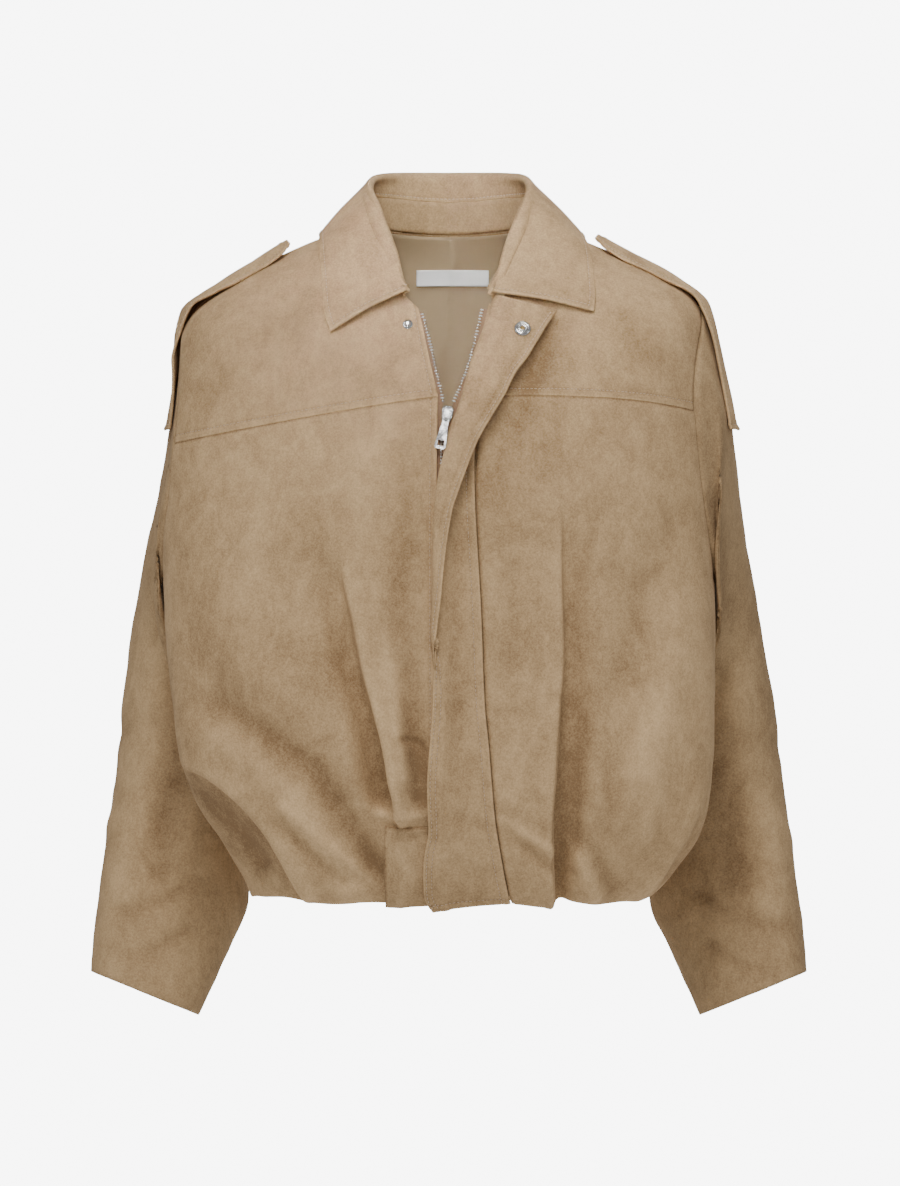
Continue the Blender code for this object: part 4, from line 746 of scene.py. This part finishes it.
dress(Wall("back", SUEDE, (0.145, -0.012, -0.537), (0, 0.12, -0.3), (0, 1, 0)),
      BACK_STEP, {}, suede_cloth, BACK_CREASES,
      tucked=("high", "first", "last"), ripple=0.8, seed=5)

# -------------------- the sleeves
# Two wide tubes of the same suede, sewn into low armholes and open at plain hems.  They hang
# slightly bent, so their slack creases at the elbow and over the forearm.

SLEEVE_STEP = 3.2 * MM
# the sleeves are the same suede painted darker, as painted shade where they turn from the light
SLEEVE_PAINTED_SHADE = 0.80
HEAD_UNDER, HEAD_SINKS = 4.0 * MM, 2.1 * MM
RIM_SINKS = 1.2 * HEAD_SINKS
sleeve_suede_painted_shade = suede("sleeve suede", tuple(SLEEVE_PAINTED_SHADE * value for value in SUEDE_PALE),
                     tuple(SLEEVE_PAINTED_SHADE * value for value in SUEDE_DEEP))

# the creases as they lie on the right sleeve
SLEEVE_CREASES = [
    Crease("front roll", "ridge", 1.4, 3.2, 14, ((232, -320), (246, -394), (262, -470), (272, -540))),
    Crease("front hollow", "trough", 1.4, 3.4, 13, ((214, -400), (228, -460), (238, -520))),
    Crease("forearm crease", "trough", 2.4, 2.2, 7, ((270, -556), (238, -548), (206, -532))),
    Crease("low crease", "trough", 1.2, 2.4, 6, ((266, -596), (240, -588), (214, -572))),
    Crease("armpit drag", "trough", 2.0, 1.0, 10, ((214, -210), (226, -262), (236, -330))),
    Crease("back elbow", "trough", 2.8, 2.2, 9, ((212, -430), (240, -418), (268, -424)), "back"),
    Crease("back elbow low", "ridge", 2.2, 2.4, 10, ((212, -458), (242, -450), (274, -460)), "back"),
    Crease("back forearm", "trough", 1.8, 2.4, 9, ((222, -520), (252, -508), (284, -520)), "back"),
    Crease("back drag", "trough", 1.2, 2.4, 13, ((236, -200), (240, -280), (232, -360)), "back"),
    Crease("outer elbow", "trough", 1.2, 1.6, 9, ((50, -400), (84, -412), (120, -402)), "right"),
    Crease("outer forearm", "ridge", 1.2, 1.4, 10, ((60, -470), (92, -488), (124, -480)), "right"),
    Crease("rests by the body", "ridge", 3.4, 3.4, 40, ((5, -250), (28, -325)), "left"),
]
MIRRORED = {"front": "front", "back": "back", "left": "right", "right": "left"}


def sleeve_creases(side, lean):
    """The creases of a sleeve; side is -1 or 1 and lean moves them down a little."""
    made = []
    for crease in SLEEVE_CREASES:
        mirror = side if crease.view in ("front", "back") else 1
        made.append(crease._replace(
            route=tuple((mirror * across, up - lean) for across, up in crease.route),
            view=crease.view if side > 0 else MIRRORED[crease.view]))
    return made


def into_the_armhole(grid):
    """Lets the sleeve's head run in a little under the body's edge."""
    way = grid[0] - grid[1]
    way /= np.linalg.norm(way, axis=1, keepdims=True)
    out = normals_of(grid, True)[0]
    return np.concatenate([[grid[0] + HEAD_UNDER * way - RIM_SINKS * out],
                           [grid[0] - HEAD_SINKS * out], grid[1:]])


dress(Wall("sleeve_left", SUEDE, (-0.212, 0.002, -0.068), (-0.26, 0.08, -0.3), (-1, 0, 0.5)),
      SLEEVE_STEP, {}, sleeve_suede_painted_shade,
      sleeve_creases(-1, 0), tucked=("low",), ripple=0.9, seed=6, ring=True, shape=into_the_armhole)
dress(Wall("sleeve_right", SUEDE, (0.203, 0.002, -0.057), (0.26, 0.08, -0.3), (1, 0, 0.5)),
      SLEEVE_STEP, {}, sleeve_suede_painted_shade,
      sleeve_creases(1, 12), tucked=("low",), ripple=0.9, seed=7, ring=True, shape=into_the_armhole)

# -------------------- the collar
# A stand of suede round the neck, and a leaf of two layers that rolls over it to two long
# points.  The leaf is topstitched near its free edge and sewn to the stand in one light row.

TWO_LAYERS = 2.4 * MM
COLLAR_STEP = 2.2 * MM
LEAF_END, LEAF_FADES = 32 * MM, 0.8
LEFT_END_MOVES, RIGHT_END_MOVES = (-1.5, -4.0, -6.0), (0.0, -8.5, -8.0)
# the same suede in other tones, painted as the light and shade inside the neck and behind the flap
neck_suede_painted_light = suede("collar stand suede", (0.63, 0.43, 0.23), (0.26, 0.165, 0.083))
LEAF_CREASES = [
    Crease("left point drag", "trough", 0.3, 0.9, 9, ((-66, -10), (-80, -40), (-86, -66))),
    Crease("right point drag", "trough", 0.3, 0.9, 9, ((66, -12), (84, -36), (94, -58))),
]


def ends_down(grid):
    """Lets the leaf's two front ends come down and forward over the fronts' edges."""
    around = lengths(grid, 1)
    along = 1 - LEAF_FADES * np.linspace(0, 1, len(grid))[:, None]
    for away, move in ((around, LEFT_END_MOVES), (around[-1] - around, RIGHT_END_MOVES)):
        reach = along * bell(away, LEAF_END)[None, :]
        grid = grid + reach[..., None] * np.array(move) * MM
    return grid


dress(Wall("collar_stand", SUEDE, (0.037, -0.081, -0.051), (0, 0.078, 0.015), (0, 1, 0)),
      COLLAR_STEP, {}, neck_suede_painted_light, ripple=0.3, seed=8)
dress(Wall("collar_leaf", TWO_LAYERS, (-0.036, -0.079, -0.047), (0, 0.08, 0.0515), (0, 0, 1)),
      COLLAR_STEP, {"low": (2.2,), "high": (4.5,), "first": (4.5,), "last": (4.5,)},
      suede_cloth, LEAF_CREASES, ripple=0.15, seed=9, shape=ends_down)

# -------------------- the front flap
# A strip of two layers of suede, sewn along the right front's edge.  It covers the closed zip
# below, and its upper part is turned back to show its underside.

FACING, FACING_STEP = 1.2 * MM, 3 * MM
FLAP_END, FLAP_END_MOVES = 14 * MM, (0.0, 1.0, 5.0)
FLAP_CREASES = [
    Crease("channel", "trough", 1.2, 3.4, 8, ((9, -240), (6, -300), (5, -340), (5, -370))),
    Crease("foot of the channel", "trough", 3.4, 0.8, 8, ((5, -388), (6, -420), (8, -456))),
    Crease("low dent", "trough", 1.2, 1.2, 7, ((-12, -486), (4, -480), (24, -486))),
    Crease("low ridge", "ridge", 1.2, 1.2, 7, ((-10, -512), (8, -504), (30, -514))),
    Crease("hem dent", "trough", 0.8, 1.2, 6, ((4, -500), (10, -530), (8, -548))),
]


def top_up(grid):
    """Lets the flap's upper end reach up behind the collar's leaf, beside its seam."""
    away = lengths(grid, 0)[-1] - lengths(grid, 0)
    reach = bell(away, FLAP_END)[:, None] * np.linspace(0, 1, grid.shape[1])[None, :]
    return grid + reach[..., None] * np.array(FLAP_END_MOVES) * MM


flap = dress(Wall("front_flap", TWO_LAYERS, (-0.013, -0.12, -0.552), (0.02, -0.15, -0.4), (0, -1, 0)),
             COLLAR_STEP, {"first": (2.2, 6.5), "last": (6.5,), "low": (6.5,)},
             suede_cloth, FLAP_CREASES, ripple=0.4, seed=10, shape=top_up)
flap_under = (flap - TWO_LAYERS * normals_of(flap))[:, ::-1]
sew(flap_under, "last", 3.0)
sew(flap_under, "first", 6.5)

# the facing behind the flap, one layer of the same suede, in the collar stand's painted tones
dress(Wall("facing_right", FACING, (-0.002, -0.113, -0.542), (0.02, -0.15, -0.3), (0, -1, 0)),
      FACING_STEP, {}, neck_suede_painted_light, ripple=0.3, seed=11)

# -------------------- the zip
# Two woven tapes, their inner edges set with teeth of bright metal that mesh below the slider.
# The slider and its pull tab are cast metal; the tab hangs from the slider's bridge.

TAPE, TAPE_STEP = 1.0 * MM, 1.5 * MM
TOOTH_PITCH = 2.7 * MM
TOOTH = (2.8 * MM, 2.1 * MM, 1.1 * MM)      # across, through and along the tape
TOOTH_OUT = 0.5 * MM
SLIDER_TOP, SLIDER_FOOT = -0.141, -0.157


def woven(name, pale, deep, threads, rough):
    """Plain woven cloth: threads both ways on the piece's own flat map."""
    look = Look(name, Roughness=rough)
    flat = look.node("ShaderNodeUVMap", {"uv_map": "cloth"})
    warp, weft = [look.node("ShaderNodeTexWave", {"bands_direction": way}, Vector=flat,
                            Scale=threads, Distortion=0.4).outputs["Fac"] for way in "XY"]
    weave = look.times(warp, weft)
    patch = look.blotches(look.place(), 60.0, 3.0, 0.6)
    look.paint(look.sum(look.times(weave, 0.5), look.times(patch, 0.6)), deep, pale)
    look.emboss(weave, 0.4, 0.0002)
    return look.material


def bright_metal(name, colour, rough, reflection_bright):
    """Plated metal with faint smears in its roughness, and patches painted darker as painted
    reflections; reflection_bright is how bright those patches stay.
    """
    look = Look(name, Metallic=1.0)
    smear_and_reflection = look.blotches(look.place(), 140.0, 3.0, 0.6)
    give(look.shader.inputs["Roughness"], look.spread(smear_and_reflection, 0.3, 0.7, rough - 0.06, rough + 0.1))
    # painted reflection: the patches darken the metal's colour
    look.paint(look.spread(smear_and_reflection, 0.35, 0.65, 0.0, 1.0), [reflection_bright * value for value in colour], colour)
    return look.material


def repeat_tree():
    """A tree that sets a shape along lines, at a spacing, each a little different in size."""
    tree = bpy.data.node_groups.new("repeat along a line", "GeometryNodeTree")
    sockets = {}
    for name, kind in (("Lines", "Geometry"), ("Shape", "Object"), ("Spacing", "Float"),
                       ("Smallest", "Float"), ("Largest", "Float"), ("Seed", "Int"),
                       ("Material", "Material")):
        socket = tree.interface.new_socket(name, in_out="INPUT", socket_type="NodeSocket" + kind)
        sockets[name] = socket.identifier
    tree.interface.new_socket("Pieces", in_out="OUTPUT", socket_type="NodeSocketGeometry")
    given = add_node(tree, "NodeGroupInput").outputs
    curve = add_node(tree, "GeometryNodeMeshToCurve", Mesh=given["Lines"])
    even = add_node(tree, "GeometryNodeResampleCurve", {"mode": "LENGTH"}, Curve=curve,
                    Length=given["Spacing"])
    turn = add_node(tree, "FunctionNodeAlignRotationToVector", {"axis": "Z"},
                    Vector=add_node(tree, "GeometryNodeInputTangent"))
    across = add_node(tree, "GeometryNodeInputNamedAttribute", {"data_type": "FLOAT_VECTOR"},
                      Name="across")
    twist = add_node(tree, "FunctionNodeAlignRotationToVector", {"axis": "X", "pivot_axis": "Z"},
                     Rotation=turn, Vector=across)
    shape = add_node(tree, "GeometryNodeObjectInfo", Object=given["Shape"])
    size = add_node(tree, "FunctionNodeRandomValue", {"data_type": "FLOAT"}, Seed=given["Seed"])
    low, high = [socket for socket in size.inputs if socket.type == "VALUE"][:2]
    grown = [socket for socket in size.outputs if socket.type == "VALUE"][0]
    give(low, given["Smallest"])
    give(high, given["Largest"])
    strewn = add_node(tree, "GeometryNodeInstanceOnPoints", Points=even, Rotation=twist,
                      Instance=shape.outputs["Geometry"], Scale=grown)
    solid = add_node(tree, "GeometryNodeRealizeInstances", Geometry=strewn)
    painted = add_node(tree, "GeometryNodeSetMaterial", Geometry=solid, Material=given["Material"])
    add_node(tree, "NodeGroupOutput", Pieces=painted)
    return tree, sockets


REPEAT, REPEAT_SOCKETS = repeat_tree()


def along_lines(name, lines, across, shape, material, **inputs):
    """One mesh of a small shape repeated along lines; across says which way each one faces."""
    mesh = bpy.data.meshes.new(name)
    starts = np.cumsum([0] + [len(line) for line in lines])
    edges = [(a + k, a + k + 1) for a, line in zip(starts, lines) for k in range(len(line) - 1)]
    mesh.from_pydata(np.concatenate(lines), edges, [])
    facing = mesh.attributes.new("across", "FLOAT_VECTOR", "POINT")
    facing.data.foreach_set("vector", np.concatenate(across).astype(np.float32).ravel())
    guide = put(name + " guide", mesh)
    modifier = guide.modifiers.new("repeat", "NODES")
    modifier.node_group = REPEAT
    for socket, value in dict(inputs, Shape=shape, Material=material).items():
        modifier[REPEAT_SOCKETS[socket]] = value
    made = bpy.data.meshes.new_from_object(guide.evaluated_get(bpy.context.evaluated_depsgraph_get()))
    bpy.data.objects.remove(guide)
    bpy.data.objects.remove(shape)
    made.name = name
    made.shade_smooth()
    return put(name, made)


def small_shape(name, size, make):
    """A small mesh, a few dozen faces, scaled to a size."""
    work = bmesh.new()
    make(work)
    bmesh.ops.scale(work, vec=size, verts=work.verts)
    mesh = bpy.data.meshes.new(name)
    work.to_mesh(mesh)
    work.free()
    return put(name, mesh)


def tooth_form(work):
    bmesh.ops.create_cube(work, size=1)
    bmesh.ops.bevel(work, geom=work.edges[:], offset=0.22, segments=1, profile=0.5, affect="EDGES")


tape_cloth = woven("zip tape", (0.36, 0.22, 0.12), (0.20, 0.11, 0.06), 260.0, 0.85)
bright_teeth = bright_metal("bright zip metal", (0.92, 0.91, 0.88), 0.24, 0.9)
tapes = {node: dress(Wall(node, TAPE, foot, (-0.01, -0.15, -0.3), (0, -1, 0)), TAPE_STEP, {},
                     tape_cloth, ripple=0.05, seed=12)
         for node, foot in (("zip_tape_left", (-0.019, -0.115, -0.536)),
                            ("zip_tape_right", (-0.007, -0.115, -0.536)))}

tooth_lines, tooth_ways = [], []
for node, edge, inner, start in (("zip_tape_left", -1, -2, 0.0), ("zip_tape_right", 0, 1, 0.5)):
    tape = tapes[node]
    way = tape[:, edge] - tape[:, inner]
    way /= np.linalg.norm(way, axis=1, keepdims=True)
    line = tape[:, edge] + TOOTH_OUT * way - 0.5 * TAPE * normals_of(tape)[:, edge]
    run = run_along(line)
    for low, high in ((-1, SLIDER_FOOT), (SLIDER_TOP, 1)):
        inside = run[(line[:, 2] > low) & (line[:, 2] < high)]
        first = math.ceil(inside[0] / TOOTH_PITCH) + start
        last = math.floor(inside[-1] / TOOTH_PITCH - start) + start
        at = np.arange(first, last + 0.1, 1.0) * TOOTH_PITCH
        tooth_lines.append(read_line(line, run, at))
        tooth_ways.append(read_line(way, run, at))

teeth = along_lines("zip_teeth", tooth_lines, tooth_ways, small_shape("tooth", TOOTH, tooth_form),
                    bright_teeth, Spacing=TOOTH_PITCH, Smallest=1.0, Largest=1.0, Seed=1)
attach(teeth, "jacket")

cast_metal = bright_metal("cast zip metal", (0.80, 0.79, 0.77), 0.18, 0.6)
for node in ("zip_slider", "zip_pull_tab"):
    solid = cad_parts[node]
    solid.material_slots[0].link = "OBJECT"
    solid.material_slots[0].material = cast_metal

# -------------------- the waist's tab
# A short strip of suede at the hem beside the zip, folded over the gathered front and sewn
# down on it.

TAB_STEP, TAB_EDGE_MOVES = 1.6 * MM, (5.0, 0.6, 1.5)
TAB_CREASES = [
    Crease("below its top", "trough", 1.2, 1.8, 4, ((-54, -492), (-38, -495), (-18, -490))),
    Crease("drag", "ridge", 0.8, 1.2, 5, ((-42, -500), (-36, -525), (-40, -550))),
]


def under_the_flap(grid):
    """Lets the tab's inner edge run in under the flap, and its top lean a little."""
    share = np.linspace(0, 1, grid.shape[1])[None, :, None]
    return grid + share * np.array(TAB_EDGE_MOVES) * MM


dress(Wall("waist_tab", SUEDE, (-0.051, -0.109, -0.552), (-0.04, -0.14, -0.51), (0, -1, 0)),
      TAB_STEP, {}, suede_cloth, TAB_CREASES, tucked=("high", "first"),
      ripple=0.9, seed=13, shape=under_the_flap)

# -------------------- the shoulder straps
# Two long straps of two layers of suede, pointed at the neck.  They are topstitched all round
# and laid over the shoulders and down over the sleeves' heads.

STRAP_STEP = 2.0 * MM
STRAP_CLEARS = 0.4 * MM
STRAP_REACH = 12 * MM       # no strap sinks further
STRAP_BACK = 20 * MM
STRAP_SOFT = 3              # rows over which a strap's sinking grows
STRAP_STAYS, STRAP_TURNS = 0.45, 5      # from this share of its length on it lies on top
LOW_FADES, POINT_AT, POINT_FADES = 12, 0.93, 8      # it hardly sinks at its two ends


def even_end(grid):
    """Ends every line along a strap at the same height on the sleeve."""
    lines = []
    for line in grid.transpose(1, 0, 2):
        run = run_along(line)
        start = np.interp(grid[0, :, 2].max(), line[:, 2], run)
        lines.append(through(line[:, None], run, start + run * (1 - start / run[-1]))[:, 0])
    return np.array(lines).transpose(1, 0, 2)


def below_cloth(pieces):
    """A tree of the pieces' faces, to measure how far away they lie."""
    places, faces = [], []
    for piece in pieces:
        faces += [[len(places) + k for k in face.vertices] for face in piece.data.polygons]
        places += [vert.co for vert in piece.data.vertices]
    return BVHTree.FromPolygons(places, faces)


shoulders = below_cloth([bpy.data.objects[name + "_cloth"] for name in
                         ("yoke_front_left", "yoke_front_right", "back", "sleeve_left", "sleeve_right")])


def on_the_shoulder(points, thick):
    """How far a strap's places sink until they nearly touch: whole rows on top of the shoulder,
    and only the back edge below it, where the front edge stands off the sleeve."""
    normals = normals_of(points)
    gaps = np.array([[shoulders.ray_cast(Vector(place - thick * way), Vector(-way), STRAP_REACH)[3] or 0.0
                      for place, way in zip(row, ways)] for row, ways in zip(points, normals)])
    gaps[gaps == 0] = np.median(gaps)
    back = "first" if points[:, 0, 1].mean() > points[:, -1, 1].mean() else "last"
    share = np.linspace(0, 1, len(points))[:, None]
    on_top = np.clip((share - STRAP_STAYS) * STRAP_TURNS, 0, 1)
    sinks = on_top * gaps.min(axis=1, keepdims=True) \
        + (1 - on_top) * gaps * bell(inset(points, back), STRAP_BACK)
    for over_rows in (np.min, np.mean):
        wide = np.pad(sinks, ((STRAP_SOFT, STRAP_SOFT), (0, 0)), mode="edge")
        sinks = over_rows([wide[k:k + len(sinks)] for k in range(2 * STRAP_SOFT + 1)], axis=0)
    sinks = np.maximum(sinks - STRAP_CLEARS, 0)
    sinks *= np.clip(share * LOW_FADES, 0, 1)
    return sinks * np.clip((POINT_AT - share) * POINT_FADES, 0, 1)


for node, foot, side, yoke in (("epaulette_left", (-0.234, 0.025, -0.161), -1, "yoke_front_left"),
                               ("epaulette_right", (0.234, -0.017, -0.195), 1, "yoke_front_right")):
    dress(Wall(node, TWO_LAYERS, foot, (side * 0.2, 0, -0.03), (side, 0, 1)), STRAP_STEP,
          {edge: (3.5,) for edge in EDGES}, suede_cloth, ripple=0.25,
          seed=15 + side, seat=on_the_shoulder, shape=even_end)

# -------------------- the lining and the label
# A smooth lining hangs inside the back, and a blank woven label is sewn on below the collar
# by its two ends.

lining_cloth = woven("smooth lining", (0.44, 0.315, 0.175), (0.345, 0.245, 0.135), 900.0, 0.55)
label_cloth = woven("blank woven label", (0.97, 0.96, 0.94), (0.88, 0.87, 0.85), 420.0, 0.60)
LINING, LINING_STEP = 1.0 * MM, 6 * MM
LABEL, LABEL_STEP = 0.8 * MM, 1.2 * MM

dress(Wall("lining_back", LINING, (0.157, -0.007, -0.530), (0, 0.11, -0.3), (0, 1, 0)),
      LINING_STEP, {}, lining_cloth, ripple=0.4, seed=17)
dress(Wall("neck_label", LABEL, (-0.027, 0.085, -0.042), (0, 0.08, -0.035), (0, -1, 0)),
      LABEL_STEP, {}, label_cloth, ripple=0.25, seed=18)

# -------------------- the snap
# A stud on the left front's extension and its socket on the flap's underside, both pressed
# from bright metal.

SNAP_STEPS = 36
STUD_PROFILE = ((4.2, 0), (4.2, 0.35), (3.9, 0.7), (3.2, 0.85), (2.2, 0.9), (1.8, 1.2), (1.8, 1.6),
                (2.3, 2.0), (2.5, 2.4), (2.3, 2.8), (1.7, 3.05), (0.9, 3.15), (0, 3.15))
SOCKET_PROFILE = ((7.0, 0), (7.0, 0.7), (6.7, 1.3), (6.1, 1.8), (5.3, 2.1), (4.6, 2.15), (4.2, 1.9),
                  (4.0, 1.3), (3.5, 1.1), (3.1, 1.3), (2.9, 1.9), (2.5, 2.1), (2.0, 1.9), (1.8, 1.3),
                  (1.8, 0.5), (0, 0.5))
EYE_FROM = 13           # the socket's stops from here on are its brass eye


def turned(node, profile, materials, eye_from):
    """Turns a profile of radius and height, in millimetres, on its solid's own axis."""
    places = np.array([vert.co[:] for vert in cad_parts[node].data.vertices])
    centre = places.mean(axis=0)
    axis = np.linalg.eigh(np.cov((places - centre).T))[1][:, 0]
    axis *= -np.sign(axis[1])
    foot = Vector(centre + ((places - centre) @ axis).min() * axis)
    turn = Vector(axis).to_track_quat("Z", "Y")
    work = bmesh.new()
    rings = []
    for radius, height in profile:
        angles = [2 * math.pi * k / SNAP_STEPS for k in range(SNAP_STEPS if radius else 1)]
        rings.append([work.verts.new(foot + turn @ Vector((radius * math.cos(a), radius * math.sin(a),
                                                           height)) * MM) for a in angles])
    for step, (low, high) in enumerate(zip(rings, rings[1:])):
        for k in range(SNAP_STEPS):
            ahead = (k + 1) % SNAP_STEPS
            corners = [low[k], low[ahead], high[ahead], high[k]] if len(high) > 1 \
                else [low[k], low[ahead], high[0]]
            work.faces.new(corners).material_index = int(step >= eye_from)
    work.faces.new(rings[0][::-1])
    mesh = bpy.data.meshes.new(node + "_turned")
    work.to_mesh(mesh)
    work.free()
    for material in materials:
        mesh.materials.append(material)
    mesh.shade_smooth()
    stand_for(put(node + "_turned", mesh), node)


snap_metal = bright_metal("snap metal", (0.66, 0.65, 0.63), 0.18, 0.7)
brass_eye = bright_metal("brass eye", (0.42, 0.28, 0.12), 0.45, 0.7)
turned("snap_stud", STUD_PROFILE, [snap_metal], len(STUD_PROFILE))
turned("snap_socket", SOCKET_PROFILE, [snap_metal, brass_eye], EYE_FROM)

# -------------------- the topstitching
# Strong thread in the suede's own colour.  It runs in even stitches of about 3 mm beside every
# finished edge and holds the layers down flat.

STITCH_PITCH = 3.3 * MM
STITCH = (0.36 * MM, 0.36 * MM, 1.30 * MM)      # half a stitch: across, through and along


def stitch_form(work):
    bmesh.ops.create_uvsphere(work, u_segments=6, v_segments=4, radius=1)


thread = Look("sewing thread", Roughness=0.7)
thread.paint(thread.blotches(thread.place(), 1500.0, 2.0, 0.6), (0.42, 0.30, 0.18), (0.68, 0.52, 0.36))
ways = [np.tile((1.0, 0.0, 0.0), (len(line), 1)) for line in seams]
stitches = along_lines("topstitching", seams, ways, small_shape("stitch", STITCH, stitch_form),
                       thread.material, Spacing=STITCH_PITCH, Smallest=0.88, Largest=1.12, Seed=3)
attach(stitches, "jacket")
